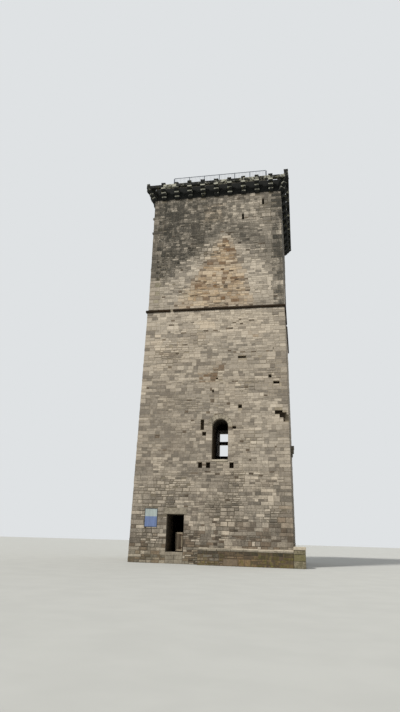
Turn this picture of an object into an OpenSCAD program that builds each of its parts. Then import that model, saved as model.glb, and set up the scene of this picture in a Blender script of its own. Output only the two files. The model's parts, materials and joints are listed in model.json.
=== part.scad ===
// Square stone castle keep: a battered lower stage, a string course, a straight upper
// stage and a machicolated head with a railed terrace. Front face towards -Y, up is +Z,
// origin at the middle of the plan, on the ground. All sizes in millimetres.

/* [Walls] */
// Width of the square plan at the ground
base_w = 10600; // [9600:50:11600]
// How far each face of the lower stage leans in between the ground and the string course
lean_in = 200; // [100:5:350]
// How far the upper stage stands back from the top of the lower stage
set_back = 50; // [30:5:100]
// Clear width of the rooms inside
room_w = 6600; // [5600:50:7400]
// Height of the string course above the ground
string_z = 17550; // [15500:50:19500]
// Height of the underside of the corbels above the ground
corbel_z = 27450; // [25500:50:29500]

/* [Ground doorway] */
// Width of the ground doorway
door_w = 1150; // [950:10:1350]
// Distance of the doorway's middle from the middle of the front, to the left
door_left = 2275; // [1900:5:2500]
// Height of the threshold above the ground
threshold_z = 700; // [500:10:900]
// Height of the doorway above its threshold
door_h = 2330; // [2000:10:2600]
// Height of the stone lintel
door_lintel_h = 370; // [250:10:500]
// How far the lintel bears on each side
lintel_bearing = 200; // [120:10:300]

/* [Arched opening] */
// Width of the arched opening on the first floor
arch_w = 1100; // [900:10:1400]
// Distance of the arched opening's middle from the middle of the front, to the right
arch_x = 580; // [300:5:900]
// Height of the top of the sill above the ground
sill_z = 6600; // [6300:10:7000]
// Height from the sill to the springing of the arch
spring_h = 2235; // [1900:5:2500]
// Depth of the arch stones, from the opening outwards
ring_t = 300; // [200:10:400]
// Number of arch stones
ring_n = 9; // [7:2:13]
// Thickness of the sill slab
sill_t = 150; // [100:5:220]
// How far the sill slab stands out of the wall
sill_out = 40; // [20:5:80]
// Height of the wall band above the springing
band_h = 1765; // [1400:5:2200]

/* [Back window] */
// Width of the back window
window_w = 1100; // [800:10:1300]
// Distance of the back window's middle from the middle of the back wall
window_x = 380; // [100:5:600]
// Height of the window's bottom edge above the ground
window_z = 8060; // [7700:10:8300]
// Height of the window
window_h = 2190; // [1900:10:2500]
// Height of the stone transom
transom_h = 280; // [180:10:360]
// Height of the transom's underside above the window's bottom edge
transom_up = 1210; // [900:10:1300]
// Depth of the transom
transom_d = 300; // [200:10:400]

/* [Small holes] */
// Width of a beam socket
socket_w = 280; // [180:10:320]
// Height of a beam socket
socket_h = 380; // [200:10:420]
// Depth of a beam socket
socket_d = 450; // [250:10:700]
// Height of the beam sockets' middle above the ground
socket_z = 6210; // [5900:10:6230]
// Width and height of a scaffold hole
putlog_w = 270; // [180:5:320]
// Depth of a scaffold hole
putlog_d = 350; // [200:10:500]
// Width of a loop at the top
loop_w = 150; // [100:5:220]
// Height of a loop at the top
loop_h = 520; // [400:10:700]
// Depth of the loop that doesn't go through
blind_loop_d = 700; // [400:10:1200]
// Depth of the gap left by fallen stones at the right corner
gash_d = 380; // [200:10:600]

/* [String course] */
// Height of the string course
string_h = 240; // [160:5:320]
// How far the string course stands out of the lower stage
string_out = 120; // [60:5:180]
// Width of the joint between its lengths
string_joint = 10; // [5:1:20]
// Distance from the left end of the front's string course to the break in it
break_in = 1860; // [1200:10:2600]
// Width of that break
break_w = 230; // [100:10:400]
// Distance from the front end of the right side's string course to the gap in it
gap_in = 3540; // [2500:10:4000]
// Width of that gap
gap_w = 600; // [300:10:900]

/* [Plinth] */
// Height of the plinth with its cap
plinth_h = 970; // [800:10:1100]
// How far the plinth stands out of the wall's foot
plinth_out = 600; // [400:10:700]
// Where the plinth begins, from the middle of the front to the left
plinth_left = 640; // [200:10:1500]
// Thickness of the plinth's cap
cap_t = 120; // [80:5:180]
// How far the cap overhangs the plinth
cap_over = 30; // [15:5:60]
// How far the corner block stands out to the right of the wall's foot
block_out = 740; // [500:10:800]
// Height of the corner block
block_h = 1250; // [1100:10:1400]

/* [Machicolation] */
// Number of corbels on each side, without the corner ones
corbel_n = 9; // [7:2:11]
// Distance from the wall's corner to the middle of the nearest corbel
corbel_end = 750; // [700:10:1300]
// Width of a corbel
corbel_w = 360; // [280:5:440]
// How far the corbels stand out of the wall
corbel_out = 639; // [510:3:750]
// Height of one of a corbel's three rounded tiers
tier_h = 285; // [230:5:320]
// Length of a corbel's tail inside the wall
tail_l = 500; // [300:10:550]
// Gap round a corbel's tail in its slot, and over a corner corbel
tail_gap = 0.3; // [0.1:0.1:1]
// Height of the lintels on the corbels
lintel_h = 260; // [200:5:320]
// Depth of the lintels on the corbels
lintel_d = 260; // [180:5:300]
// Width of the joint between two lintels
lintel_joint = 10; // [5:1:20]
// Height of the parapet stubs left on the lintels
stub_h = 220; // [120:5:320]
// Width of a parapet stub
stub_w = 380; // [300:5:450]
// Height of the taller stub left at the front right corner
tall_stub_h = 470; // [300:5:700]

/* [Terrace] */
// Distance from the wall's face in to the edge of the raised platform
platform_in = 1050; // [800:10:1300]
// Height of the raised platform above the wall walk
platform_h = 750; // [500:10:900]
// Thickness of the platform's edge wall and of its slab
platform_t = 250; // [180:10:350]
// Height of the guard rail
rail_h = 1135; // [1000:5:1200]
// Side of a guard rail post
post_w = 50; // [40:1:70]
// Distance from the platform's edge in to the posts' middles
rail_in = 100; // [70:5:200]
// Number of bays in each side of the guard rail
rail_bays = 6; // [4:1:8]

/* [Floors] */
// Height of the top of the first floor's boards above the ground
floor_z = 6560; // [6200:10:6900]
// Thickness of the floor boards
board_t = 50; // [35:1:70]
// Number of floor beams
beam_n = 7; // [5:1:9]
// Width of a floor beam
beam_w = 220; // [160:5:280]
// Height of a floor beam
beam_h = 280; // [220:5:360]
// Length of a beam's end inside the wall
beam_bearing = 250; // [150:10:400]

/* [Gate] */
// Width of the gate's leaf
leaf_w = 1040; // [900:5:1060]
// Height of the gate's leaf
leaf_h = 1150; // [1000:5:1250]
// Gap under the leaf
leaf_gap = 60; // [30:5:100]
// Thickness of the leaf's frame
frame_t = 45; // [35:1:60]
// Width of the leaf's stiles and rails
frame_w = 95; // [70:5:120]
// Thickness of the leaf's boards
leaf_board_t = 22; // [16:1:26]
// Radius of the hinge pins
pin_r = 9; // [7:0.5:12]
// Gap between a hinge pin and its eye
pin_gap = 0.1; // [0.05:0.05:0.3]
// Distance from the jamb to the hinge pins
pin_off = 60; // [45:1:80]
// Distance from the wall's face in to the hinge pins
pin_in = 160; // [120:5:300]
// Angle at which the leaf stands open
leaf_open = 52; // [10:1:85]

/* [Notice board and side box] */
// Width of the notice board
notice_w = 840; // [600:10:1000]
// Height of the notice board
notice_h = 1150; // [800:10:1300]
// Thickness of the notice board
notice_t = 30; // [15:1:45]
// Gap between the notice board and the wall
notice_gap = 0.3; // [0.1:0.1:1]
// Distance of the notice board's middle from the middle of the front, to the left
notice_left = 3915; // [3800:5:4300]
// Height of the notice board's bottom edge
notice_z = 2200; // [2000:10:2800]
// How far the side box stands out of the right wall
side_box_out = 240; // [150:5:350]
// Width of the side box
side_box_w = 640; // [400:10:900]
// Height of the side box
side_box_h = 780; // [500:10:1000]
// Distance of the side box's middle from the middle of the right wall, towards the front
side_box_in = 1000; // [0:10:2500]
// Height of the side box's bottom edge above the ground
side_box_z = 7370; // [7000:10:8000]

/* [Hidden] */
$fn = 48;

// Colours
rubble_colour = [0.58, 0.53, 0.44];
dark_rubble_colour = [0.45, 0.43, 0.38];
dressed_colour = [0.63, 0.58, 0.49];
crust_colour = [0.25, 0.25, 0.23];
timber_colour = [0.40, 0.34, 0.27];
iron_colour = [0.22, 0.22, 0.23];
board_colour = [0.55, 0.65, 0.80];

// A cut runs this far past the face that it opens
past = 20;

// Heights worked out from the sizes above
first_z = sill_z - sill_t;
spring_z = sill_z + spring_h;
band_z = spring_z + band_h;
door_top_z = threshold_z + door_h;
lintel_top_z = door_top_z + door_lintel_h;
window_top_z = window_z + window_h;
head_z = corbel_z + 3 * tier_h;
walk_z = head_z + lintel_h;
platform_z = walk_z + platform_h;

// Half widths
base_half = base_w / 2;
stage_half = base_half - lean_in;
upper_half = stage_half - set_back;
room_half = room_w / 2;
nose_half = upper_half + corbel_out;

// Places along the front, from left to right
door_x0 = -door_left - door_w / 2;
door_x1 = door_x0 + door_w;
lintel_x0 = door_x0 - lintel_bearing;
lintel_x1 = door_x1 + lintel_bearing;
arch_x0 = arch_x - arch_w / 2;
arch_x1 = arch_x + arch_w / 2;
ring_r = arch_w / 2;
ring_out_r = ring_r + ring_t;

// How far the lower stage's face is from the middle of the plan at height z
function face(z) = base_half - (base_half - stage_half) * z / string_z;
// How far the wall leans in, in degrees
batter = atan((base_half - stage_half) / string_z);

// Places of the corbels along one side
corbel_pitch = 2 * (upper_half - corbel_end) / (corbel_n - 1);
corbel_at = [for (i = [0 : corbel_n - 1]) i * corbel_pitch - upper_half + corbel_end];

// Middles of the beam sockets, from the arched opening's middle
socket_at = [-1320, -780, 800];
// Holes beside the arched opening: right of its middle, above its springing, and their
// width and height as multiples of a scaffold hole's
left_holes = [[-1240, 125, 0.9, 2.7], [-1100, -505, 1, 1]];
right_holes = [[960, -85, 1, 0.75], [1350, 1385, 1, 0.95]];
// Holes and lost stones higher up, in the same way, but above the band's top
middle_holes = [
    [1470, 3210, 2.1, 0.65], [3850, 1280, 1.6, 0.7], [3420, 1740, 0.8, 0.8],
    [-550, 740, 0.5, 0.75], [-280, 1650, 0.5, 0.5]];
// Stones fallen out at the right corner: where each ends towards the middle and towards
// the corner, counted from the corner, and its bottom and top above the springing
fallen_stones = [[1010, 500, 810, 1080], [700, 230, 570, 930], [450, 0, 285, 765]];
// Loops: right of the front's middle, below the corbels, and their depth
loops = [[2100, 2040, upper_half], [3670, 820, blind_loop_d]];

// Turns what is drawn on the front to side n: 0 front, 1 right, 2 back, 3 left
module on_side(n) {
    rotate([0, 0, 90 * n]) children();
}

// The outer form of the lower stage: four faces that lean in
module battered_mass() {
    intersection() {
        for_axis(0) batter_prism();
        for_axis(1) batter_prism();
    }
}

module for_axis(n) {
    rotate([90, 0, 90 * n]) children();
}

module batter_prism() {
    linear_extrude(base_w + 2 * past, center = true)
        polygon([[-base_half, 0], [base_half, 0], [stage_half, string_z], [-stage_half, string_z]]);
}

// A piece of the lower stage's front wall, from x0 to x1 and from z0 to z1
module lower_wall(x0, x1, z0, z1) {
    intersection() {
        battered_mass();
        translate([x0, -base_half - past, z0])
            cube([x1 - x0, base_half + past - room_half, z1 - z0]);
    }
}

// A blind hole in the lower stage's front wall
module blind_hole(x, z, w, h, depth) {
    translate([x - w / 2, -base_half - past, z - h / 2])
        cube([w, base_half + past - face(z) + depth, h]);
}

// Ground floor: paving on solid fill, level with the threshold
module ground_floor() {
    color(dressed_colour)
        translate([-room_half, -room_half, 0]) cube([room_w, room_w, threshold_z]);
}

// Front wall, ground storey, to the left of the doorway
module front_wall_ground_left() {
    color(rubble_colour) difference() {
        lower_wall(-base_half, door_x0, 0, first_z);
        lintel_seat();
    }
}

// Front wall, ground storey, to the right of the doorway, with three beam sockets
module front_wall_ground_right() {
    color(rubble_colour) difference() {
        lower_wall(door_x1, base_half, 0, first_z);
        lintel_seat();
        for (x = socket_at) blind_hole(arch_x + x, socket_z, socket_w, socket_h, socket_d);
    }
}

// The space taken by the door lintel and the wall over it
module lintel_seat() {
    translate([lintel_x0, -base_half - past, door_top_z])
        cube([lintel_x1 - lintel_x0, base_half + 2 * past - room_half, first_z]);
}

module front_wall_over_door() {
    color(rubble_colour) lower_wall(lintel_x0, lintel_x1, lintel_top_z, first_z);
}

module door_lintel() {
    color(dressed_colour) lower_wall(lintel_x0, lintel_x1, door_top_z, lintel_top_z);
}

module door_threshold() {
    color(dressed_colour) lower_wall(door_x0, door_x1, 0, threshold_z);
}

// Front wall, first floor, to the left of the arched opening
module front_wall_first_left() {
    color(rubble_colour) difference() {
        lower_wall(-base_half, arch_x0, first_z, band_z);
        arch_seat();
        for (hole = left_holes) small_hole(hole, spring_z);
    }
}

// Front wall, first floor, to the right of the arched opening, with the broken corner
module front_wall_first_right() {
    color(rubble_colour) difference() {
        lower_wall(arch_x1, base_half, first_z, band_z);
        arch_seat();
        for (hole = right_holes) small_hole(hole, spring_z);
        broken_corner();
    }
}

// One of the small holes, counted from height z
module small_hole(hole, z) {
    blind_hole(arch_x + hole[0], z + hole[1], putlog_w * hole[2], putlog_w * hole[3], putlog_d);
}

// The stepped gap where stones have fallen out at the right corner
module broken_corner() {
    for (stone = fallen_stones) {
        toward_corner = stone[1] > 0 ? stone[1] : -past;
        translate([base_half - stone[0], -base_half - past, spring_z + stone[2]])
            cube([stone[0] - toward_corner, past + base_half - face(spring_z) + gash_d,
                stone[3] - stone[2]]);
    }
}

// The space taken by the arch stones and the wall over them
module arch_seat() {
    translate([arch_x - ring_out_r, -base_half - past, spring_z])
        cube([2 * ring_out_r, base_half + 2 * past - room_half, band_h + past]);
}

module front_wall_over_arch() {
    color(rubble_colour) difference() {
        lower_wall(arch_x - ring_out_r, arch_x + ring_out_r, spring_z, band_z);
        arch_barrel(ring_out_r, 2 * past);
    }
}

// A round bar along the arch's middle line, through the whole front wall
module arch_barrel(r, more) {
    translate([arch_x, -room_half + more / 2, spring_z]) rotate([90, 0, 0])
        cylinder(r = r, h = base_half - room_half + more);
}

// Wedge stones of the arch, with open joints between them; the end ones sit on the springing
module arch_stones() {
    step = 180 / ring_n;
    joint = 0.3;
    color(dressed_colour) for (i = [0 : ring_n - 1])
        arch_stone(i * step + (i > 0 ? joint : 0), (i + 1) * step - (i < ring_n - 1 ? joint : 0));
}

// One wedge stone, between two angles from the springing
module arch_stone(from, to) {
    reach = ring_out_r * 2;
    intersection() {
        battered_mass();
        difference() {
            arch_barrel(ring_out_r, 0);
            arch_barrel(ring_r, 2 * past);
        }
        translate([arch_x, -room_half, spring_z]) rotate([90, 0, 0])
            linear_extrude(base_half - room_half)
                polygon([[0, 0], reach * [cos(from), sin(from)], reach * [cos(to), sin(to)]]);
    }
}

// Sill slab of the arched opening
module arch_sill() {
    color(dressed_colour)
        translate([arch_x0, -face(first_z) - sill_out, first_z])
            cube([arch_w, face(first_z) + sill_out - room_half, sill_t]);
}

// Front wall between the first floor and the string course, with scaffold holes
module front_wall_middle() {
    color(rubble_colour) difference() {
        lower_wall(-base_half, base_half, band_z, string_z);
        for (hole = middle_holes) small_hole(hole, band_z);
    }
}

// Back wall: below, beside and over the window
module back_wall_ground() {
    color(rubble_colour) on_side(2) lower_wall(-base_half, base_half, 0, window_z);
}

module back_wall_first_left() {
    color(rubble_colour) on_side(2)
        lower_wall(window_x + window_w / 2, base_half, window_z, window_top_z);
}

module back_wall_first_right() {
    color(rubble_colour) on_side(2)
        lower_wall(-base_half, window_x - window_w / 2, window_z, window_top_z);
}

module back_window_transom() {
    z = window_z + transom_up;
    color(dressed_colour) on_side(2)
        translate([window_x - window_w / 2, -face(z + transom_h), z])
            cube([window_w, transom_d, transom_h]);
}

module back_wall_middle() {
    color(rubble_colour) on_side(2) lower_wall(-base_half, base_half, window_top_z, string_z);
}

// Side walls of the lower stage stand between the front and back walls
module side_wall_lower(n) {
    color(rubble_colour) difference() {
        on_side(n) lower_wall(-room_half, room_half, 0, string_z);
        floor_beam_row();
    }
}

module left_wall_lower() {
    side_wall_lower(3);
}

module right_wall_lower() {
    side_wall_lower(1);
}

// A wall of the upper stage, slotted at the top for the corbels' tails
module upper_wall(n, half) {
    color(dark_rubble_colour) difference() {
        on_side(n) translate([-half, -upper_half, string_z])
            cube([2 * half, upper_half - room_half, head_z - string_z]);
        tail_slots();
    }
}

module tail_slots() {
    for (n = [0 : 3], x = corbel_at) on_side(n) translate([x, -upper_half, corbel_z]) tail_slot();
    for (n = [0 : 3]) translate([0, 0, corbel_z]) corner_turn(n) tail_slot();
}

module tail_slot() {
    translate([-corbel_w / 2 - tail_gap, -past, 0])
        cube([corbel_w + 2 * tail_gap, tail_l + tail_gap + past, 3 * tier_h + past]);
}

// Turns what is drawn as a front corbel to stand diagonally at corner n
module corner_turn(n) {
    on_side(n) translate([upper_half, -upper_half, 0]) rotate([0, 0, 45]) children();
}

// Upper front wall with its two loops
module front_wall_upper() {
    difference() {
        upper_wall(0, upper_half);
        for (loop = loops) loop_cut(loop[0], corbel_z - loop[1], loop[2]);
    }
}

module loop_cut(x, z, depth) {
    translate([x - loop_w / 2, -upper_half - past, z - loop_h / 2])
        cube([loop_w, depth + past, loop_h]);
}

module back_wall_upper() {
    upper_wall(2, upper_half);
}

module left_wall_upper() {
    upper_wall(3, room_half);
}

module right_wall_upper() {
    upper_wall(1, room_half);
}

// String course: a drip moulding in lengths, broken near the left corner of the front
module string_course() {
    color(dressed_colour) {
        string_length(0, -string_half(), break_in - string_half());
        string_length(0, break_in + break_w - string_half(), string_half());
        string_length(1, -side_string_half(), gap_in - side_string_half());
        string_length(1, gap_in + gap_w - side_string_half(), side_string_half());
        string_length(2, -string_half(), string_half());
        string_length(3, -side_string_half(), side_string_half());
    }
}

function string_half() = stage_half + string_out;
function side_string_half() = upper_half - string_joint;

// One length: sloping top, square nose and a hollow underneath
module string_length(n, x0, x1) {
    hollow_r = string_out * 0.6;
    on_side(n) translate([x0, 0, string_z]) rotate([90, 0, 90]) linear_extrude(x1 - x0)
        difference() {
            polygon([
                [-string_half(), string_h * 0.3],
                [-string_half(), string_h * 0.6],
                [-upper_half, string_h],
                [-upper_half, 0],
                [-stage_half, 0],
            ]);
            translate([-stage_half - hollow_r * 0.9, 0]) circle(hollow_r * 0.6);
        }
}

// Plinth along the foot of the front wall, right of the middle
module plinth() {
    color(rubble_colour) plinth_run(plinth_out, 0, plinth_h - cap_t);
}

module plinth_cap() {
    color(dressed_colour) plinth_run(plinth_out + cap_over, plinth_h - cap_t, cap_t);
}

module plinth_run(out, z, h) {
    difference() {
        translate([-plinth_left, -base_half - out, z])
            cube([plinth_left + base_half, out + past, h]);
        battered_mass();
    }
}

// Block that ends the plinth at the right corner
module plinth_corner_block() {
    color(dressed_colour) difference() {
        translate([base_half, -base_half - plinth_out - cap_over, 0])
            cube([block_out, plinth_out + cap_over + block_out, block_h]);
        battered_mass();
    }
}

// One corbel of three rounded tiers, each standing further out and running back into a square tail
module corbel(out, h) {
    rotate([90, 0, 90]) translate([0, 0, -corbel_w / 2]) linear_extrude(corbel_w)
        for (k = [0 : 2]) translate([0, k * h]) tier((k + 1) * out / 3, out / 3, h);
}

// A tier's outline: flat on top, its lower front edge rounded
module tier(reach, nose, h) {
    r = min(nose, floor(0.9 * h));
    translate([-reach, r]) square([r, h - r]);
    translate([-reach + r, 0]) square([reach - r + tail_l, h]);
    intersection() {
        translate([-reach + r, r]) circle(r);
        translate([-reach, 0]) square(r);
    }
}

module corbel_row(n) {
    color(crust_colour) on_side(n) for (x = corbel_at)
        translate([x, -upper_half, corbel_z]) corbel(corbel_out, tier_h);
}

module front_corbels() {
    corbel_row(0);
}

module back_corbels() {
    corbel_row(2);
}

module left_corbels() {
    corbel_row(3);
}

module right_corbels() {
    corbel_row(1);
}

// Corner corbels stand out diagonally, as far as the corner of the lintels, in whole
// millimetres a tier
function corner_out() = 3 * round((corbel_out - lintel_d / 3) * sqrt(2) / 3);

module corner_corbels() {
    color(crust_colour) for (n = [0 : 3])
        translate([0, 0, corbel_z]) corner_turn(n) corbel(corner_out(), tier_h - tail_gap / 3);
}

// Lintels from corbel to corbel; those of the front and back run on to the corners
module lintel_row(n, end) {
    ends = concat([-end], corbel_at, [end]);
    color(dressed_colour) on_side(n) for (i = [0 : len(ends) - 2])
        translate([ends[i] + lintel_joint / 2, -nose_half, head_z])
            cube([ends[i + 1] - ends[i] - lintel_joint, lintel_d, lintel_h]);
}

module front_lintels() {
    lintel_row(0, nose_half);
}

module back_lintels() {
    lintel_row(2, nose_half);
}

module left_lintels() {
    lintel_row(3, nose_half - lintel_d);
}

module right_lintels() {
    lintel_row(1, nose_half - lintel_d);
}

// Stubs of the lost parapet, one over each corbel
module parapet_stubs() {
    color(crust_colour) for (n = [0 : 3]) on_side(n) {
        for (x = corbel_at) parapet_stub(x - stub_w / 2, stub_h);
        parapet_stub(nose_half - stub_w, n == 0 ? tall_stub_h : stub_h);
    }
}

module parapet_stub(x, h) {
    translate([x, -nose_half, walk_z]) cube([stub_w, lintel_d, h]);
}

// Wall walk and terrace
module terrace_slab() {
    color(dressed_colour)
        translate([-upper_half, -upper_half, head_z])
            cube([2 * upper_half, 2 * upper_half, lintel_h]);
}

module terrace_platform() {
    half = upper_half - platform_in;
    color(dressed_colour) difference() {
        translate([-half, -half, walk_z]) cube([2 * half, 2 * half, platform_h]);
        translate([-half + platform_t, -half + platform_t, walk_z - past])
            cube([2 * (half - platform_t), 2 * (half - platform_t), platform_h - platform_t + past]);
    }
}

// Guard rail: a panel on each side of the platform
module guard_rail() {
    half = upper_half - platform_in - rail_in;
    run = half - 1.6 * post_w;
    bay = 2 * run / rail_bays;
    bar_h = rail_h * 0.04;
    bar_at = [0.12, 0.48, 0.96];
    color(iron_colour) for (n = [0 : 3]) on_side(n) translate([0, -half, platform_z]) {
        for (i = [0 : rail_bays]) translate([-run + i * bay - post_w / 2, -post_w / 2, 0])
            cube([post_w, post_w, rail_h]);
        for (share = bar_at) translate([-run, -post_w / 4, share * rail_h])
            cube([2 * run, post_w / 2, bar_h]);
    }
}

// First floor: beams from side wall to side wall, with boards on them
module floor_beam_row() {
    pitch = room_w / beam_n;
    beam_z = floor_z - board_t - beam_h;
    for (i = [0 : beam_n - 1])
        translate([-room_half - beam_bearing, (i + 0.5) * pitch - room_half - beam_w / 2, beam_z])
            cube([room_w + 2 * beam_bearing, beam_w, beam_h]);
}

module floor_beams() {
    color(timber_colour) floor_beam_row();
}

module floor_boards() {
    edge = 10;
    color(timber_colour)
        translate([-room_half + edge, -room_half + edge, floor_z - board_t])
            cube([room_w - 2 * edge, room_w - 2 * edge, board_t]);
}

// Notice board, bare, flat on the leaning wall
module notice_board() {
    color(board_colour)
        translate([-notice_left - notice_w / 2, -face(notice_z), notice_z]) rotate([-batter, 0, 0])
            translate([0, -notice_t - notice_gap, 0]) cube([notice_w, notice_t, notice_h]);
}

// Small box on the right wall
module side_box() {
    color(iron_colour) difference() {
        on_side(1) translate([-side_box_in - side_box_w / 2, -face(first_z) - side_box_out, side_box_z])
            cube([side_box_w, side_box_out + 2 * past, side_box_h]);
        battered_mass();
    }
}

// Gate: hung from two pins in the right jamb and standing open, inwards
pin_x = door_x1 - pin_off;
pin_y = -face(threshold_z) + pin_in;
leaf_z = threshold_z + leaf_gap;
heel = 40;
eye_h = 44;
eye_t = 9;
hinge_in = 190;
hinge_zs = [leaf_z + hinge_in, leaf_z + leaf_h - hinge_in];

module at_hinge() {
    translate([pin_x, pin_y, 0]) rotate([0, 0, -leaf_open]) children();
}

// The leaf runs from its heel towards -X before it is turned open
module gate_leaf() {
    x0 = -heel - leaf_w;
    color(timber_colour) at_hinge() {
        difference() {
            translate([x0, -frame_t / 2, leaf_z]) cube([leaf_w, frame_t, leaf_h]);
            translate([x0 + frame_w, -frame_t, leaf_z + frame_w])
                cube([leaf_w - 2 * frame_w, 2 * frame_t, leaf_h - 2 * frame_w]);
        }
        translate([x0 + frame_w, -frame_t / 2, leaf_z + frame_w])
            cube([leaf_w - 2 * frame_w, leaf_board_t, leaf_h - 2 * frame_w]);
    }
}

// Hinge straps on the leaf's face, each with an eye round its pin
module gate_straps() {
    strap_t = 8;
    strap_l = 420;
    color(iron_colour) at_hinge() for (z = hinge_zs) translate([0, 0, z]) {
        difference() {
            union() {
                cylinder(r = pin_r + eye_t, h = eye_h);
                translate([-heel - strap_l, -frame_t / 2 - strap_t, 0])
                    cube([strap_l + heel, strap_t, eye_h]);
                translate([-heel / 2, -frame_t / 2 - strap_t, 0])
                    cube([heel / 2, frame_t / 2 + strap_t, eye_h]);
            }
            translate([0, 0, -past]) cylinder(r = pin_r + pin_gap, h = eye_h + 2 * past);
        }
    }
}

// Pins that stand on brackets set in the jamb
module gate_pintles() {
    seat = 0.3;
    arm = 20;
    collar = 6;
    pin_end = 12;
    color(iron_colour) for (z = hinge_zs) translate([pin_x, pin_y, z]) {
        translate([0, 0, -seat - arm]) cylinder(r = pin_r + collar, h = arm);
        translate([0, 0, -seat]) cylinder(r = pin_r, h = eye_h + pin_end);
        translate([0, -arm / 2, -seat - arm]) cube([pin_off, arm, arm]);
    }
}

ground_floor();
front_wall_ground_left();
front_wall_ground_right();
front_wall_over_door();
door_lintel();
door_threshold();
front_wall_first_left();
front_wall_first_right();
front_wall_over_arch();
arch_stones();
arch_sill();
front_wall_middle();
back_wall_ground();
back_wall_first_left();
back_wall_first_right();
back_window_transom();
back_wall_middle();
left_wall_lower();
right_wall_lower();
front_wall_upper();
back_wall_upper();
left_wall_upper();
right_wall_upper();
string_course();
plinth();
plinth_cap();
plinth_corner_block();
front_corbels();
back_corbels();
left_corbels();
right_corbels();
corner_corbels();
front_lintels();
back_lintels();
left_lintels();
right_lintels();
parapet_stubs();
terrace_slab();
terrace_platform();
guard_rail();
floor_beams();
floor_boards();
notice_board();
side_box();
gate_leaf();
gate_straps();
gate_pintles();
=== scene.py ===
"""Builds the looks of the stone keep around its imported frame.

The frame gives the construction: walls, corbels, lintels, floors and the gate. This file lays the
facing stones, corner stones, mouldings, paving, balusters and boards over it, and finishes every
surface. Lengths are in metres, and the front of the keep faces -Y.
"""

import json
import math

import bpy
import numpy as np
from bpy.props import FloatProperty, FloatVectorProperty, IntProperty, PointerProperty
from mathutils import Matrix, Vector, noise


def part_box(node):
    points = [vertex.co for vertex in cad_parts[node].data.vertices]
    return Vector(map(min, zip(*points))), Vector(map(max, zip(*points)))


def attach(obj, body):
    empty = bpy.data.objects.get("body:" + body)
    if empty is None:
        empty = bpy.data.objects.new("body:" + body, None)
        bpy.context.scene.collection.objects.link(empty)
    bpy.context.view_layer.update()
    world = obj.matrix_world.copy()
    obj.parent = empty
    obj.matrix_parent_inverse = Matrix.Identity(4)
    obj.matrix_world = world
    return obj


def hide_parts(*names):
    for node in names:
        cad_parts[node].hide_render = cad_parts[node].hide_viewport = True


bl_info = {
    "name": "Castle Keep Looks",
    "version": (1, 0, 0),
    "blender": (4, 5, 0),
    "location": "3D View > Sidebar > Keep",
    "description": "Lays the stones, paving, balusters and boards of a stone keep and finishes them",
    "category": "Object",
}

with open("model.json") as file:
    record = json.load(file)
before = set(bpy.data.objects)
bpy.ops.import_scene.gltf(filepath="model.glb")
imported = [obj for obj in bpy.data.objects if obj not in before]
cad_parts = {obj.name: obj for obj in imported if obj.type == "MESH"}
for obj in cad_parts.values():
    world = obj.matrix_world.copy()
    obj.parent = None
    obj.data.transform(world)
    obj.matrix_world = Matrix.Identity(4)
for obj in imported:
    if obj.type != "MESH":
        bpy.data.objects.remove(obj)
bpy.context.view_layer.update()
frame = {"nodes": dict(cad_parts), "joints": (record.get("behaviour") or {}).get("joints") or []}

# The four sides, in the order in which a quarter turn takes one to the next
SIDES = ("front", "right", "back", "left")

# Heights and half widths, read from the frame
GROUND_HALF = -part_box("left_wall_lower")[0].x
MIDDLE_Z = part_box("front_wall_middle")[0].z
LEAN = (GROUND_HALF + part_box("front_wall_middle")[0].y) / MIDDLE_Z
STRING_LOW, STRING_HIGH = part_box("string_course")
UPPER_HALF = -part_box("front_wall_upper")[0].x
CORBEL_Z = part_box("front_corbels")[0].z
HEAD_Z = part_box("front_lintels")[0].z
WALK_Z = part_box("front_lintels")[1].z
NOSE_HALF = -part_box("front_corbels")[0].y
ROOM_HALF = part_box("ground_floor")[1].x
ARCH_LOW, ARCH_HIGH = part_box("arch_stones")
ARCH_X = (ARCH_LOW.x + ARCH_HIGH.x) / 2
ARCH_OUT_R = (ARCH_HIGH.x - ARCH_LOW.x) / 2
SILL_LOW, SILL_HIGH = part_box("arch_sill")
ARCH_R = (SILL_HIGH.x - SILL_LOW.x) / 2
SPRING_Z = ARCH_LOW.z
PLINTH_LOW, PLINTH_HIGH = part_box("plinth_cap")
BLOCK_LOW, BLOCK_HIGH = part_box("plinth_corner_block")
WINDOW_LOW, WINDOW_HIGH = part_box("back_window_transom")
WINDOW_Z0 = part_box("back_wall_first_left")[0].z
WINDOW_Z1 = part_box("back_wall_first_left")[1].z

# Places along each side that the frame's boxes don't give
CORBEL_PITCH = 1.075
CORBELS = [CORBEL_PITCH * n for n in range(-4, 5)]
CORBEL_W = 0.36
STUB_W, STUB_H = 0.38, 0.22
TIER_H = (HEAD_Z - CORBEL_Z) / 3
SOCKETS = (-1.32, -0.78, 0.80)
SOCKET_W, SOCKET_H, SOCKET_Z = 0.28, 0.38, 6.21
SMALL_HOLES = (
    # Right of the arch's middle, above its springing, width and height
    (-1.24, 0.125, 0.243, 0.729),
    (-1.10, -0.505, 0.27, 0.27),
    (0.96, -0.085, 0.27, 0.203),
    (1.35, 1.385, 0.27, 0.257),
    (1.47, 4.975, 0.567, 0.176),
    (3.85, 3.045, 0.432, 0.189),
    (3.42, 3.505, 0.216, 0.216),
    (-0.55, 2.505, 0.135, 0.203),
    (-0.28, 3.415, 0.135, 0.135),
)
FALLEN_STONES = (
    # Right of the front's middle, from and to, and bottom and top
    (4.29, 4.80, 9.645, 9.915),
    (4.60, 5.07, 9.405, 9.765),
    (4.85, 5.60, 9.120, 9.600),
)
FALLEN_DEPTH = 0.38
LOOPS = ((2.10, 25.41), (3.67, 26.63))
LOOP_W, LOOP_H = 0.15, 0.52

# How far below the top of the plinth's cap the stones over it start
CAP_SINK = 0.02

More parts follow.
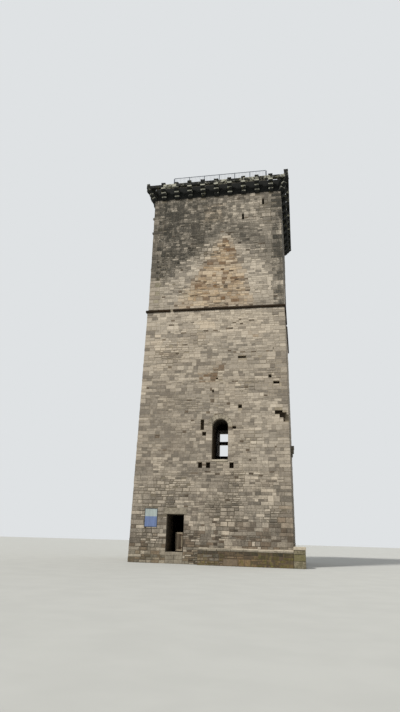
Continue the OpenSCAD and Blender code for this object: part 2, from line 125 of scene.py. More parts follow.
# How far corbels reach into the wall, the joint between their tiers, and how pale a nose may be, from worn
# crust and painted highlight
CORBEL_BED, CORBEL_JOINT = 0.06, 0.004
NOSE_SHARES = (0.8, 1.2, 1.5, 1.7)

# Half the joint between two paving slabs, their thickness and their worn edge
SLAB_JOINT, SLAB_DEPTH, SLAB_EDGE = 0.005, 0.03, 0.008

# The least height of a row and length of a stone, and the area of a small one
LEAST_ROW, LEAST_STONE, SMALL_STONE = 0.045, 0.07, 0.045

# The usual width of the outer chunks of a course, and how far bed joints waver
OUTER_CHUNK, BED_SWING = 1.2, 0.045

# Weather on the lower stage: the height up to which its foot is dirty, the heights between which it
# grows paler, the places between which it grows duller near a corner, and the heights of the dull
# belt at the left of the arch and of the pale one at its right
FOOT_TOP = 11.5
PALE_RISE = (12.4, 16.6)
DULL_CORNER = (3.8, 4.8)
DULL_BY_ARCH = (5.0, 12.5)
PALE_BY_ARCH = (5.0, 11.0)

# The tip of the eroded triangle on the upper front
TRIANGLE_X, TRIANGLE_TOP = 0.75, 23.6

# Patches of the front in which stones differ from those around them, and how much of the
# difference a stone takes, by chance
PATCH_SHARES = (0.2, 1.0, 1.3)
FRONT_PATCHES = (
    # Along the front, up, half width, half height, then what is added to the tone and the ochre
    (-0.28, 12.37, 0.70, 0.38, -0.34, 0.45),
    (0.43, 13.12, 0.32, 0.28, -0.30, 0.40),
    (-1.38, 15.47, 0.97, 0.20, -0.24, 0.15),
    (-3.30, 14.11, 0.70, 0.24, -0.24, 0.10),
    (-3.38, 11.33, 0.60, 0.16, -0.26, 0.00),
    (3.05, 15.48, 0.45, 0.16, -0.16, 0.40),
    (4.75, 2.70, 0.25, 0.95, -0.14, 0.30),
    (4.37, 10.26, 0.30, 0.17, 0.45, 0.00),
    (3.04, 11.00, 0.60, 0.14, 0.28, 0.00),
    (3.02, 10.50, 0.28, 0.14, 0.35, 0.00),
    (-3.39, 10.68, 0.52, 0.15, 0.28, 0.00),
    (-4.20, 15.00, 0.45, 0.90, 0.30, 0.10),
    (-4.15, 13.22, 0.40, 0.34, 0.28, 0.05),
    (-0.55, 16.45, 0.55, 0.50, 0.22, 0.15),
    (3.53, 3.92, 0.50, 0.34, 0.26, 0.00),
    (-1.60, 20.95, 0.36, 0.34, 0.34, -0.60),
    (1.31, 21.94, 0.45, 0.22, -0.46, 0.10),
    (0.28, 21.41, 0.28, 0.14, -0.50, 0.10),
    (0.83, 20.65, 0.45, 0.08, -0.44, 0.10),
    (0.53, 20.09, 0.50, 0.10, -0.48, 0.10),
    (2.42, 25.83, 1.15, 0.95, 0.24, 0.00),
    (1.05, 23.50, 0.25, 0.90, 0.34, 0.00),
    (-0.23, 25.93, 0.85, 0.85, 0.14, 0.25),
    (-1.49, 23.90, 0.55, 1.20, -0.22, 0.10),
    (-3.31, 26.17, 0.85, 0.20, -0.45, 0.00),
    (-4.02, 24.66, 0.45, 0.32, -0.35, 0.20),
    (-0.90, 6.60, 1.10, 1.30, -0.20, 0.00),
    (0.60, 5.20, 1.00, 0.40, -0.18, 0.00),
    (-1.95, 20.40, 0.55, 0.90, -0.26, 0.00),
    (-0.85, 21.85, 0.35, 0.35, 0.20, 0.00),
    (0.90, 22.30, 0.55, 0.80, -0.14, 0.10),
    (2.25, 23.90, 0.45, 0.90, -0.28, 0.00),
    (3.70, 22.60, 0.70, 0.35, 0.24, 0.00),
    (3.70, 21.35, 0.70, 0.45, -0.20, 0.00),
    (3.50, 19.30, 0.80, 0.70, 0.22, 0.00),
    (1.90, 16.75, 0.60, 0.30, 0.26, 0.00),
    (-4.30, 25.40, 0.35, 0.80, -0.20, 0.10),
    (-2.20, 26.80, 0.50, 0.40, 0.22, 0.00),
)


def srgb(code):
    """Linear colour of a six-digit sRGB code."""
    values = [int(code[i : i + 2], 16) / 255 for i in (0, 2, 4)]
    return tuple(v / 12.92 if v <= 0.04045 else ((v + 0.055) / 1.055) ** 2.4 for v in values)


def colour_prop(name, description, code):
    """A colour of the keep that a user may change."""
    return FloatVectorProperty(
        name=name, description=description, subtype="COLOR", min=0, max=1, default=srgb(code)
    )


def length_prop(name, description, default, low, high):
    """A length in metres that a user may change."""
    return FloatProperty(
        name=name, description=description, default=default, min=low, max=high, unit="LENGTH"
    )


class KeepSizes(bpy.types.PropertyGroup):
    """Sizes of the pieces laid over the frame"""

    course_low: length_prop("Lowest course", "Height of the lowest main courses", 0.30, 0.2, 0.5)
    course_high: length_prop("Highest course", "Height of the highest main courses", 0.50, 0.3, 0.7)
    stone_short: length_prop("Shortest stone", "Length of the shortest facing stones", 0.20, 0.1, 0.5)
    stone_long: length_prop("Longest stone", "Length of the longest facing stones", 0.60, 0.3, 1.0)
    stone_low: length_prop("Lowest stone", "Height of the lowest facing stones", 0.11, 0.08, 0.2)
    stone_high: length_prop("Highest stone", "Height of the highest facing stones", 0.33, 0.2, 0.5)
    joint: length_prop("Joint", "Width of the mortar joints", 0.013, 0.004, 0.03)
    proud: length_prop("Proud", "How far a facing stone stands out of the wall's face", 0.012, 0.005, 0.03)
    chamfer: length_prop("Worn edge", "Width of the worn edge round a stone's face", 0.014, 0.004, 0.03)
    quoin_long: length_prop("Long corner stone", "Long side of a corner stone", 0.78, 0.5, 1.0)
    quoin_short: length_prop("Short corner stone", "Short side of a corner stone", 0.40, 0.25, 0.6)
    slab: length_prop("Paving slab", "Usual side of a paving slab", 0.62, 0.3, 1.0)
    baluster_gap: length_prop("Baluster spacing", "Distance between two balusters", 0.115, 0.08, 0.2)
    baluster_d: length_prop("Baluster", "Diameter of a baluster", 0.014, 0.008, 0.02)
    board: length_prop("Board", "Width of a floor or gate board", 0.17, 0.08, 0.3)
    seed: IntProperty(name="Seed", description="Start of the random choices", default=11, min=0, max=999)


class KeepColours(bpy.types.PropertyGroup):
    """Colours of the keep's finishes"""

    stone_pale: colour_prop("Pale stone", "Cleanest stones of the walls", "cbbfad")
    stone_dark: colour_prop("Dark stone", "Darkest stones of the walls", "7f776c")
    ochre_pale: colour_prop("Pale ochre", "Pale stones of the eroded patch", "cdb594")
    ochre_dark: colour_prop("Dark ochre", "Brown stones of the eroded patch", "7a5c3e")
    # The dark lichen is also laid as painted shade inside the arch and as painted shadow under the plinth's
    # cap
    lichen: colour_prop("Dark lichen", "Lichen and soot on the upper walls", "383630")
    lime: colour_prop("Pale lichen", "Pale crust on the upper stones", "aeab9c")
    algae: colour_prop("Algae", "Yellow-green growth", "7f7a45")
    mortar: colour_prop("Mortar", "Joints of the walls", "a09480")
    dressed_pale: colour_prop("Pale dressed stone", "Sills, lintels and caps", "c0b5a1")
    dressed_dark: colour_prop("Dark dressed stone", "Weathered sills, lintels and caps", "7d7465")
    # The black crust is also painted as the shade between the corbels
    crust: colour_prop("Black crust", "Crust on the corbels", "1f201e")
    # The brown crust is dark enough to paint the shadow under the string course's moulding
    brown_crust_and_shadow: colour_prop("Brown crust", "Damp brown crust on the string course", "33220d")
    # Also the painted highlight on the corbels' noses
    crust_edge: colour_prop("Worn crust", "Where the crust has worn off", "b2b0a0")
    plinth: colour_prop("Plinth stone", "Brown stones of the plinth", "8d7558")
    moss: colour_prop("Moss", "Moss on the plinth", "5b5230")
    inside: colour_prop("Inner walls", "Stones of the rooms and passages", "5a4e40")
    oak: colour_prop("Oak", "Weathered oak", "9a8d78")
    oak_dark: colour_prop("Dark oak", "Cracks and grain of the oak", "3b3025")
    iron: colour_prop("Iron", "Forged iron", "2c2724")
    rust: colour_prop("Rust", "Rust on the iron", "6a3d22")
    rail: colour_prop("Rail paint", "Paint of the guard rail", "34414f")
    panel: colour_prop("Notice panel", "Field of the notice board", "6a7ba3")
    panel_sheet: colour_prop("Notice sheet", "Bare sheet on the notice board", "a5afac")
    floor: colour_prop("Floor", "Studio floor", "b9b9b4")
    backdrop: colour_prop("Backdrop", "Studio backdrop", "dfe2e4")


def sizes():
    """The sizes in use."""
    return bpy.context.scene.keep_sizes


def colours():
    """The colours in use."""
    return bpy.context.scene.keep_colours


# Finishes


class Finish:
    """A material whose nodes are added one step at a time."""

    def __init__(self, name, roughness=0.9, specular=0.25, metallic=0.0):
        self.material = bpy.data.materials.new(name)
        self.material.use_nodes = True
        self.tree = self.material.node_tree
        self.tree.nodes.clear()
        surface = {"Roughness": roughness, "Specular IOR Level": specular, "Metallic": metallic}
        self.shader = self.node("ShaderNodeBsdfPrincipled", surface)
        self.node("ShaderNodeOutputMaterial", {"Surface": self.shader.outputs[0]})
        self.place = self.node("ShaderNodeTexCoord").outputs["Object"]
        self.parts = self.split(self.place)

    def node(self, kind, inputs=None, **settings):
        """A new node with some of its settings and of its inputs, by name or by number."""
        made = self.tree.nodes.new(kind)
        for key, value in settings.items():
            setattr(made, key, value)
        for key, value in (inputs or {}).items():
            self.put(made.inputs[key], value)
        return made

    def put(self, socket, value):
        """Links a socket to another, or sets its value."""
        if isinstance(value, bpy.types.NodeSocket):
            self.tree.links.new(value, socket)
        elif socket.type == "RGBA":
            socket.default_value = (*value[:3], 1.0)
        else:
            socket.default_value = value

    def split(self, vector):
        """The three parts of a vector."""
        return self.node("ShaderNodeSeparateXYZ", {0: vector}).outputs

    def noise(self, scale, detail=4.0, rough=0.55, stretch=(1, 1, 1), shift=(0, 0, 0), warp=0.0):
        """Noise over the piece, stretched along its axes."""
        moved = self.node("ShaderNodeMapping", {"Vector": self.place, "Scale": stretch, "Location": shift})
        grain = {"Scale": scale, "Detail": detail, "Roughness": rough, "Distortion": warp}
        return self.node("ShaderNodeTexNoise", {"Vector": moved.outputs[0], **grain}).outputs["Fac"]

    def cells(self, scale):
        """Distance to the nearest of scattered points."""
        made = self.node("ShaderNodeTexVoronoi", {"Vector": self.place, "Scale": scale})
        return made.outputs["Distance"]

    def mark(self, name):
        """A number that each stone carries."""
        return self.node("ShaderNodeAttribute", attribute_name=name).outputs["Fac"]

    def normal(self):
        """The three parts of the direction in which a face looks."""
        return self.split(self.node("ShaderNodeNewGeometry").outputs["True Normal"])

    def band(self, value, low, high, out_low=0.0, out_high=1.0):
        """Value taken smoothly from one range to another."""
        ranges = {"From Min": low, "From Max": high, "To Min": out_low, "To Max": out_high}
        made = self.node("ShaderNodeMapRange", {"Value": value, **ranges}, interpolation_type="SMOOTHSTEP")
        return made.outputs["Result"]

    def calc(self, operation, a, b=0.0, clamp=False):
        """One sum of two numbers."""
        return self.node("ShaderNodeMath", {0: a, 1: b}, operation=operation, use_clamp=clamp).outputs[0]

    def times(self, a, b):
        """Two numbers multiplied."""
        return self.calc("MULTIPLY", a, b)

    def varied(self, name, pattern, edges, swing, clamp=False):
        """A mark, and more or less than it where a pattern is high or low."""
        return self.calc("ADD", self.mark(name), self.band(pattern, *edges, -swing, swing), clamp=clamp)

    def mix(self, share, first, second, blend="MIX"):
        """Two colours mixed."""
        inputs = {"Factor": share, "A": first, "B": second}
        made = self.node("ShaderNodeMix", inputs, data_type="RGBA", blend_type=blend, clamp_factor=True)
        return made.outputs["Result"]

    def shade(self, colour, amount):
        """A colour made darker or lighter by a number."""
        grey = self.node("ShaderNodeCombineXYZ", dict.fromkeys(range(3), amount))
        return self.mix(1.0, colour, grey.outputs[0], "MULTIPLY")

    def laid(self, colour, over, share, most):
        """A colour with another one laid over it, as thick as two numbers multiplied."""
        return self.mix(self.times(share, most), colour, over)

    def darkened(self, colour, pattern, least):
        """A colour made darker where a pattern is low."""
        return self.shade(colour, self.band(pattern, 0.0, 1.0, least, 1.0))

    def done(self, colour, height=None, depth=0.01, strength=0.6):
        """The finished material, with its colour and its bumps."""
        self.put(self.shader.inputs["Base Color"], colour)
        if height is not None:
            bump = self.node("ShaderNodeBump", {"Strength": strength, "Distance": depth, "Height": height})
            self.put(self.shader.inputs["Normal"], bump.outputs[0])
        return self.material


class StoneFinish(Finish):
    """The finish of a stone, with the mottling and the pits of its face."""

    def __init__(self, name, fine=22.0, roughness=0.9):
        super().__init__(name, roughness)
        self.mottle = self.noise(fine * 0.3, 6.0, 0.62)
        self.pits = self.band(self.noise(fine * 2.2, 3.0, 0.5, shift=(3, 1, 2)), 0.30, 0.44)

    def tone(self, low, high, swing):
        """How pale the stone is: its own tone, which the mottling varies."""
        return self.varied("tone", self.mottle, (low, high), swing, clamp=True)

    def carved(self, colour, pit_depth, depth, strength, mottle_depth=1.0):
        """The finished material, rough with its mottling and its pits."""
        rise = self.times(self.mottle, mottle_depth)
        height = self.calc("ADD", rise, self.times(self.pits, pit_depth))
        return self.done(colour, height, depth, strength)


FINISHES = {}


def finish(recipe):
    """The material that a recipe makes, made once."""
    if recipe.__name__ not in FINISHES:
        FINISHES[recipe.__name__] = recipe(colours())
    return FINISHES[recipe.__name__]


def wall_stone(tint):
    """Facing stones: warm grey, with ochre, lichen and dirt where each stone's marks say, and black between
    the corbels as painted shade.
    """
    make = StoneFinish("wall_stone")
    tone = make.tone(0.25, 0.75, 0.16)
    plain = make.mix(tone, tint.stone_dark, tint.stone_pale)
    ochre = make.mix(tone, tint.ochre_dark, tint.ochre_pale)
    colour = make.mix(make.mark("ochre"), plain, ochre)
    streaks = make.noise(2.6, 5.0, 0.65, stretch=(1, 1, 0.28), warp=0.4)
    speckle = make.noise(14.0, 4.0, 0.7, shift=(5, 0, 1))
    # Grime also carries the painted shade between the corbels
    dirt = make.varied("grime", streaks, (0.3, 0.7), 0.30)
    dirt = make.calc("ADD", dirt, make.band(speckle, 0.3, 0.7, -0.30, 0.30))
    colour = make.laid(colour, tint.lichen, make.band(dirt, 0.0, 1.0), make.mark("grime_most"))
    crust = make.band(make.cells(9.0), 0.16, 0.10)
    colour = make.laid(colour, tint.lime, crust, make.mark("lime"))
    colour = make.mix(make.mark("algae"), colour, tint.algae)
    # Soot: dark stones, and painted shade between the corbels
    colour = make.mix(make.mark("soot"), colour, tint.crust)
    colour = make.darkened(colour, make.pits, 0.72)
    return make.carved(colour, pit_depth=0.5, depth=0.012, strength=0.7, mottle_depth=0.7)


def rubble_coursing(make, flat):
    """Courses of rough stones over (along, up), as a texture node."""
    inputs = {
        "Vector": flat,
        "Scale": 1.0,
        "Mortar Size": 0.012,
        "Brick Width": 0.42,
        "Row Height": 0.21,
        "Color1": (0.72, 0.72, 0.72),
        "Color2": (1.15, 1.15, 1.15),
        "Mortar": (0.6, 0.6, 0.6),
    }
    return make.node("ShaderNodeTexBrick", inputs, offset=0.45, squash=0.8, squash_frequency=3)


def wall_core(tint):
    """Mortar between the facing stones, and the coursed rubble of rooms and passages."""
    make = Finish("wall_core", roughness=0.95)
    x, y, z = make.parts
    facing_y = make.band(make.calc("ABSOLUTE", make.normal()[1]), 0.6, 0.8)
    along_x = make.times(facing_y, x)
    along_y = make.times(make.calc("SUBTRACT", 1.0, facing_y), y)
    flat = make.node("ShaderNodeCombineXYZ", {0: make.calc("ADD", along_x, along_y), 1: z})
    bricks = rubble_coursing(make, flat.outputs[0])
    rubble = make.mix(1.0, tint.inside, bricks.outputs["Color"], "MULTIPLY")
    mortar = make.laid(tint.mortar, tint.lichen, make.band(z, STRING_HIGH.z, STRING_HIGH.z + 5.0), 0.55)
    mortar = make.shade(mortar, make.band(z, 0.0, 11.0, 0.34, 1.0))
    # Painted shade: the mortar between the corbels is black, like the stones there
    mortar = make.mix(make.band(z, CORBEL_Z - 0.1, CORBEL_Z + 0.1), mortar, tint.crust)
    reach = make.calc("MAXIMUM", make.calc("ABSOLUTE", x), make.calc("ABSOLUTE", y))
    outside = make.band(reach, UPPER_HALF - 0.10, UPPER_HALF - 0.04)
    dirt = make.band(make.noise(1.3, 5.0, 0.6, stretch=(1, 1, 0.4)), 0.3, 0.75, 0.75, 1.15)
    colour = make.shade(make.mix(outside, rubble, mortar), dirt)
    joints = make.times(bricks.outputs["Fac"], 0.6)
    height = make.calc("SUBTRACT", make.noise(18.0, 5.0, 0.6), joints)
    return make.done(colour, height, depth=0.02, strength=0.6)


def dressed_stone(tint):
    """Sills, lintels, quoins of openings and caps: fine-grained blocks, weathered from above, and dark
    inside the arch as painted shade.
    """
    make = StoneFinish("dressed_stone", 26.0)
    colour = make.mix(make.tone(0.3, 0.7, 0.25), tint.dressed_dark, tint.dressed_pale)
    stain = make.band(make.noise(3.2, 5.0, 0.65, stretch=(1, 1, 0.4)), 0.52, 0.72)
    colour = make.laid(colour, tint.lichen, stain, 0.5)
    # Grime: dirt, and the painted shade of the stones inside the arch
    colour = make.laid(colour, tint.lichen, make.mark("grime"), 0.85)
    colour = make.darkened(colour, make.pits, 0.75)
    return make.carved(colour, pit_depth=0.4, depth=0.008, strength=0.6)


def crusted_stone(tint):
    """Corbels, parapet stubs and the string course: black crust, worn off on the noses and edges, with a
    painted highlight on the noses and painted shadow in the string course's dark brown crust.
    """
    make = StoneFinish("crusted_stone", 24.0)
    patches = make.noise(3.4, 6.0, 0.68, shift=(2, 7, 1), warp=0.5)
    # Tone carries the noses' painted highlight as well as the worn crust
    worn = make.varied("tone", patches, (0.3, 0.7), 0.45)
    colour = make.mix(make.band(worn, 0.45, 0.95), tint.crust, tint.crust_edge)
    growth = make.band(make.noise(5.0, 5.0, 0.6, shift=(9, 4, 2)), 0.58, 0.70)
    colour = make.laid(colour, tint.algae, growth, 0.45)
    # Painted shadow: the string course's dark brown crust stands in for the shade under the moulding
    colour = make.laid(colour, tint.brown_crust_and_shadow, make.mark("brown"), 0.8)
    return make.carved(colour, pit_depth=0.5, depth=0.015, strength=0.8)


def mossy_stone(tint):
    """The plinth's rubble under moss and algae."""
    make = StoneFinish("mossy_stone", 20.0, roughness=0.95)
    moss = make.mark("moss")
    colour = make.mix(make.tone(0.25, 0.75, 0.3), tint.inside, tint.plinth)
    colour = make.mix(make.mark("pale"), colour, tint.stone_dark)
    patches = make.calc("ADD", make.noise(3.6, 6.0, 0.7, warp=0.6), make.times(moss, 0.35))
    colour = make.laid(colour, tint.moss, make.band(patches, 0.45, 0.80), 0.9)
    streaks = make.noise(4.0, 5.0, 0.65, stretch=(1.6, 1, 0.35), shift=(4, 2, 8))
    growth = make.band(moss, -0.1, 0.9, 0.15, 0.9)
    colour = make.laid(colour, tint.algae, make.band(streaks, 0.50, 0.64), growth)
    drips = make.noise(4.6, 4.0, 0.6, stretch=(1.8, 1, 0.25), shift=(1, 9, 3))
    colour = make.laid(colour, tint.lichen, make.band(drips, 0.55, 0.68), 0.5)
    # Painted shadow: the top course is darkened where the cap's shadow falls
    colour = make.laid(colour, tint.lichen, make.mark("damp"), 0.9)
    colour = make.darkened(colour, make.pits, 0.6)
    return make.carved(colour, pit_depth=0.5, depth=0.02, strength=0.8)


def floor_stone(tint):
    """Paving of the terrace and the ground floor, with crust on the wall walk's outer edge."""
    make = StoneFinish("floor_stone", 18.0)
    z = make.parts[2]
    colour = make.mix(make.tone(0.3, 0.7, 0.3), tint.dressed_dark, tint.stone_pale)
    stain = make.band(make.noise(1.1, 6.0, 0.65, warp=0.4), 0.45, 0.68)
    colour = make.laid(colour, tint.lichen, stain, 0.55)
    upright = make.band(make.normal()[2], 0.5, 0.2)
    edge = make.times(upright, make.band(z, HEAD_Z - 0.3, HEAD_Z))
    colour = make.laid(colour, tint.crust, edge, make.band(z, WALK_Z + 0.1, WALK_Z))
    return make.carved(colour, pit_depth=0.4, depth=0.008, strength=0.5)


def oak(tint, axis=0):
    """Weathered oak with its grain along one axis."""
    make = Finish("oak" if axis == 0 else "oak_upright", roughness=0.8)
    stretch = tuple(0.5 if i == axis else 9.0 for i in range(3))
    grain = make.noise(2.4, 6.0, 0.7, stretch=stretch, warp=0.8)
    crack = make.band(make.noise(5.0, 3.0, 0.6, stretch=stretch, shift=(3, 3, 3)), 0.30, 0.40)
    tone = make.varied("tone", grain, (0.3, 0.7), 0.35, clamp=True)
    colour = make.darkened(make.mix(tone, tint.oak_dark, tint.oak), crack, 0.45)
    return make.done(colour, make.calc("ADD", grain, crack), depth=0.003, strength=0.7)


def oak_upright(tint):
    """Weathered oak with its grain upright."""
    return oak(tint, 2)


def iron(tint):
    """Forged iron, rusty in patches."""
    make = Finish("iron", roughness=0.62, specular=0.5, metallic=0.4)
    rusty = make.band(make.noise(16.0, 6.0, 0.7), 0.42, 0.62)
    colour = make.mix(rusty, tint.iron, tint.rust)
    return make.done(colour, make.noise(60.0, 4.0, 0.6), depth=0.0012, strength=0.8)


def rail_paint(tint):
    """Painted steel, chalky on top and rusty at a few spots."""
    make = Finish("rail_paint", roughness=0.5, specular=0.5)
    chalk = make.band(make.noise(3.0, 5.0, 0.6), 0.35, 0.7, 0.85, 1.25)
    rusty = make.band(make.noise(11.0, 6.0, 0.7, shift=(1, 5, 9)), 0.64, 0.72)
    colour = make.mix(rusty, make.shade(tint.rail, chalk), tint.rust)
    return make.done(colour, make.noise(80.0, 3.0, 0.5), depth=0.0008, strength=0.5)


def panel_paint(tint):
    """The notice board's field, faded and streaked by rain, with its bare sheet above."""
    make = Finish("panel_paint", roughness=0.45, specular=0.4)
    low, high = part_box("notice_board")
    sheet = make.band(make.band(make.parts[2], low.z, high.z), 0.60, 0.62)
    fade = make.band(make.noise(2.2, 5.0, 0.6, stretch=(3, 3, 0.5)), 0.3, 0.75, 0.82, 1.12)
    colour = make.shade(make.mix(sheet, tint.panel, tint.panel_sheet), fade)
    return make.done(colour, make.noise(40.0, 3.0, 0.5), depth=0.0006, strength=0.3)


# Meshes


def mesh_piece(name, points, faces, recipe, marks, body="keep", slot=None, replaced=()):
    """A new piece from points and faces, riding on a body. Its slot argument is not used."""
    slot = slot or recipe.__name__
    mesh = bpy.data.meshes.new(name)
    mesh.from_pydata([tuple(p) for p in points], [], [tuple(f) for f in faces])
    if mesh.validate():
        raise RuntimeError(f"{name}: some faces were bad")
    for key, values in marks.items():
        layer = mesh.attributes.new(key, "FLOAT", "POINT")
        layer.data.foreach_set("value", np.asarray(values, np.float32))
    mesh.materials.append(finish(recipe))
    piece = bpy.data.objects.new(name, mesh)
    bpy.context.scene.collection.objects.link(piece)
    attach(piece, body)
    if replaced:
        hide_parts(*replaced)
    return piece


def quarter_turned(points, side):
    """Points turned about the keep's middle, from the front to a side."""
    points = np.asarray(points, float)
    x, y = points[..., 0], points[..., 1]
    for _ in range(side):
        x, y = -y, x
    return np.stack([x, y, points[..., 2]], axis=-1)


def turned(points, side):
    """Points (along, outwards, up) of a side, taken to the keep's own axes."""
    return quarter_turned(np.asarray(points, float) * (1, -1, 1), side)


def face_at(z):
    """Distance of the wall's face from the middle of the plan at height z."""
    z = np.asarray(z, float)
    return np.where(z < STRING_LOW.z + 0.001, GROUND_HALF - LEAN * z, UPPER_HALF)


def unit(vectors):
    """Vectors at length one."""
    return vectors / np.maximum(np.linalg.norm(vectors, axis=-1, keepdims=True), 1e-9)


def ring_faces(start, count):
    """Faces that join a ring of points to the ring that follows it."""
    sides = [(i, (i + 1) % count) for i in range(count)]
    return [(start + i, start + j, start + count + j, start + count + i) for i, j in sides]


def outward_faces(points, faces):
    """Faces of a convex solid, each turned to face outwards."""
    points = np.asarray(points, float)
    middle = points.mean(0)
    found = []
    for face in faces:
        p = points[list(face)]
        normal = np.cross(p[1] - p[0], p[2] - p[0])
        found.append(tuple(face) if np.dot(normal, p.mean(0) - middle) > 0 else tuple(face)[::-1])
    return found


def box_corners(low, high):
    """The eight corners of a box, round its bottom and then round its top."""
    (x0, y0, z0), (x1, y1, z1) = low, high
    ring = [(x0, y0), (x1, y0), (x1, y1), (x0, y1)]
    return [(x, y, z) for z in (z0, z1) for x, y in ring]


# The six faces of a box over its eight corners
BOX_FACES = [(0, 3, 2, 1), (4, 5, 6, 7)] + ring_faces(0, 4)


def chamfer_faces():
    """Faces over 24 points: each corner of a box once for each of its three faces."""
    corners = np.array(box_corners((0, 0, 0), (1, 1, 1)))
    index, points = {}, []
    for f, face in enumerate(BOX_FACES):
        middle = corners[list(face)].mean(0)
        for corner in face:
            index[corner, f] = len(points)
            points.append(corners[corner] * 0.8 + middle * 0.2)
    found = [tuple(index[corner, f] for corner in face) for f, face in enumerate(BOX_FACES)]
    for f, face in enumerate(BOX_FACES):
        for g in range(f + 1, len(BOX_FACES)):
            shared = [corner for corner in face if corner in BOX_FACES[g]]
            if len(shared) == 2:
                a, b = shared
                found.append((index[a, f], index[b, f], index[b, g], index[a, g]))
    for corner in range(8):
        around = [f for f in range(len(BOX_FACES)) if (corner, f) in index]
        found.append(tuple(index[corner, f] for f in around))
    return outward_faces(points, found), index


CHAMFERED, CHAMFER_INDEX = chamfer_faces()


def chamfered_blocks(corners, chamfer):
    """Points and faces of many blocks with worn edges, from the eight corners of each."""
    corners = np.asarray(corners, float)
    points = np.zeros((len(corners), 24, 3))
    for f, face in enumerate(BOX_FACES):
        for i, corner in enumerate(face):
            here = corners[:, corner]
            to_next = unit(corners[:, face[(i + 1) % 4]] - here)
            to_last = unit(corners[:, face[i - 1]] - here)
            points[:, CHAMFER_INDEX[corner, f]] = here + chamfer * (to_next + to_last)
    faces = [tuple(24 * n + i for i in face) for n in range(len(corners)) for face in CHAMFERED]
    return points.reshape(-1, 3), faces


def chamfered_box(low, high, chamfer):
    """Points and faces of one upright box with worn edges."""
    return chamfered_blocks([box_corners(low, high)], chamfer)


# How far a block's faces, edges and corners are drawn in, as shares of its edge's width
DRAWN_IN = (0.0, 0.3, 0.45)

# How fast the wear changes over a stone, in turns a metre
WEAR_SCALE = 3.1


def bite(point, shift):
    """How deep weather has eaten a stone at a point, from 0 to about 1."""
    return abs(noise.noise(Vector(np.asarray(point) * WEAR_SCALE + shift)))


def outer_side(place, last):
    """-1 on the first line of a grid, 1 on its last and 0 between them."""
    return -1.0 if place == 0 else 1.0 if place == last else 0.0


def worn_block(low, high, seed, edge=0.02, wear=0.012, step=0.2):
    """Points and faces of one block with rounded, eaten edges and a slightly uneven face."""
    lines = []
    for a, b in zip(low, high):
        count = max(1, int(round((b - a) / step)))
        inset = min(edge, (b - a) / 4)
        lines.append(np.concatenate([[a], np.linspace(a + inset, b - inset, count + 1), [b]]))
    last = [len(line) - 1 for line in lines]
    index, points = {}, []
    for place in np.ndindex(*(len(line) for line in lines)):
        sides = np.array([outer_side(n, m) for n, m in zip(place, last)])
        if not sides.any():
            continue
        outer = int(np.abs(sides).sum())
        index[place] = len(points)
        p = np.array([line[n] for line, n in zip(lines, place)])
        pull = DRAWN_IN[outer - 1] * edge + bite(p, seed) * wear * (1.0 + outer)
        points.append(p - sides * pull)
    faces = []
    for axis in range(3):
        b, c = (axis + 1) % 3, (axis + 2) % 3
        for end, m, n in np.ndindex(2, last[b], last[c]):
            quad = []
            for dm, dn in ((0, 0), (1, 0), (1, 1), (0, 1)):
                key = [0, 0, 0]
                key[axis], key[b], key[c] = end * last[axis], m + dm, n + dn
                quad.append(index[tuple(key)])
            faces.append(tuple(quad) if end else tuple(quad[::-1]))
    return np.array(points), faces


def extruded(profile, start, end, edge, wear, step, seed):
    """An outline in (outwards, up) run along a side from start to end, with worn ends."""
    profile = np.asarray(profile, float)
    middle = profile.mean(0)
    count = max(1, int(round((end - start) / step)))
    stops = np.concatenate([[start], np.linspace(start + edge, end - edge, count + 1), [end]])
    points = []
    for n, along in enumerate(stops):
        shrink = edge * 0.7 if n in (0, len(stops) - 1) else 0.0
        for corner in profile:
            depth = shrink + bite((along, *corner), (seed, 0, 0)) * wear
            out, up = corner - unit(corner - middle) * depth
            points.append((along, out, up))
    size = len(profile)
    faces = [tuple(range(size))[::-1], tuple(range(len(points) - size, len(points)))]
    for n in range(len(stops) - 1):
        faces += ring_faces(n * size, size)
    return np.array(points), faces


class Heap:
    """Many small solids gathered into one mesh, each with its own marks."""

    def __init__(self):
        self.points, self.faces, self.marks, self.count = [], [], {}, 0

    def add(self, points, faces, **marks):
        """Adds a solid, whose marks are one number each or one for each point."""
        self.points.append(np.asarray(points, float))
        self.faces.extend(tuple(i + self.count for i in face) for face in faces)
        for key in set(marks) | set(self.marks):
            value = np.broadcast_to(marks.get(key, 0.0), len(points))
            self.marks.setdefault(key, [np.zeros(self.count)] if self.count else []).append(value)
        self.count += len(points)

    def add_convex(self, solid, side, **marks):
        """Adds a convex solid given as (along, outwards, up) of a side."""
        points, faces = solid
        points = turned(points, side)
        self.add(points, outward_faces(points, faces), **marks)

    def add_turned(self, solid, side, **marks):
        """Adds a solid made at the front, turned to a side."""
        points, faces = solid
        self.add(quarter_turned(points, side), faces, **marks)

    def piece(self, name, recipe, **settings):
        """The gathered mesh as a piece."""
        marks = {key: np.concatenate(values) for key, values in self.marks.items()}
        points = np.concatenate(self.points)
        return mesh_piece(name, points, self.faces, recipe, marks=marks, **settings)


# Where the stones go


def pairs(stops):
    """Each stop with the next one."""
    return list(zip(stops[:-1], stops[1:]))


def random_stops(start, end, widths):
    """Places that part a length in the proportions of some widths."""
    return start + (end - start) * np.concatenate([[0.0], np.cumsum(widths) / widths.sum()])


def courses(rng, low, high, size):
    """Heights of the main bed joints, which run round the keep, from low to high."""
    count = int(round((high - low) / ((size.course_low + size.course_high) / 2)))
    return random_stops(low, high, rng.uniform(size.course_low, size.course_high, count))


def cuts(rng, start, end, least, most, usual):
    """Places that part a length into random shares, each near the usual one."""
    count = max(1, int(round((end - start) / usual)))
    return random_stops(start, end, rng.uniform(least, most, count))


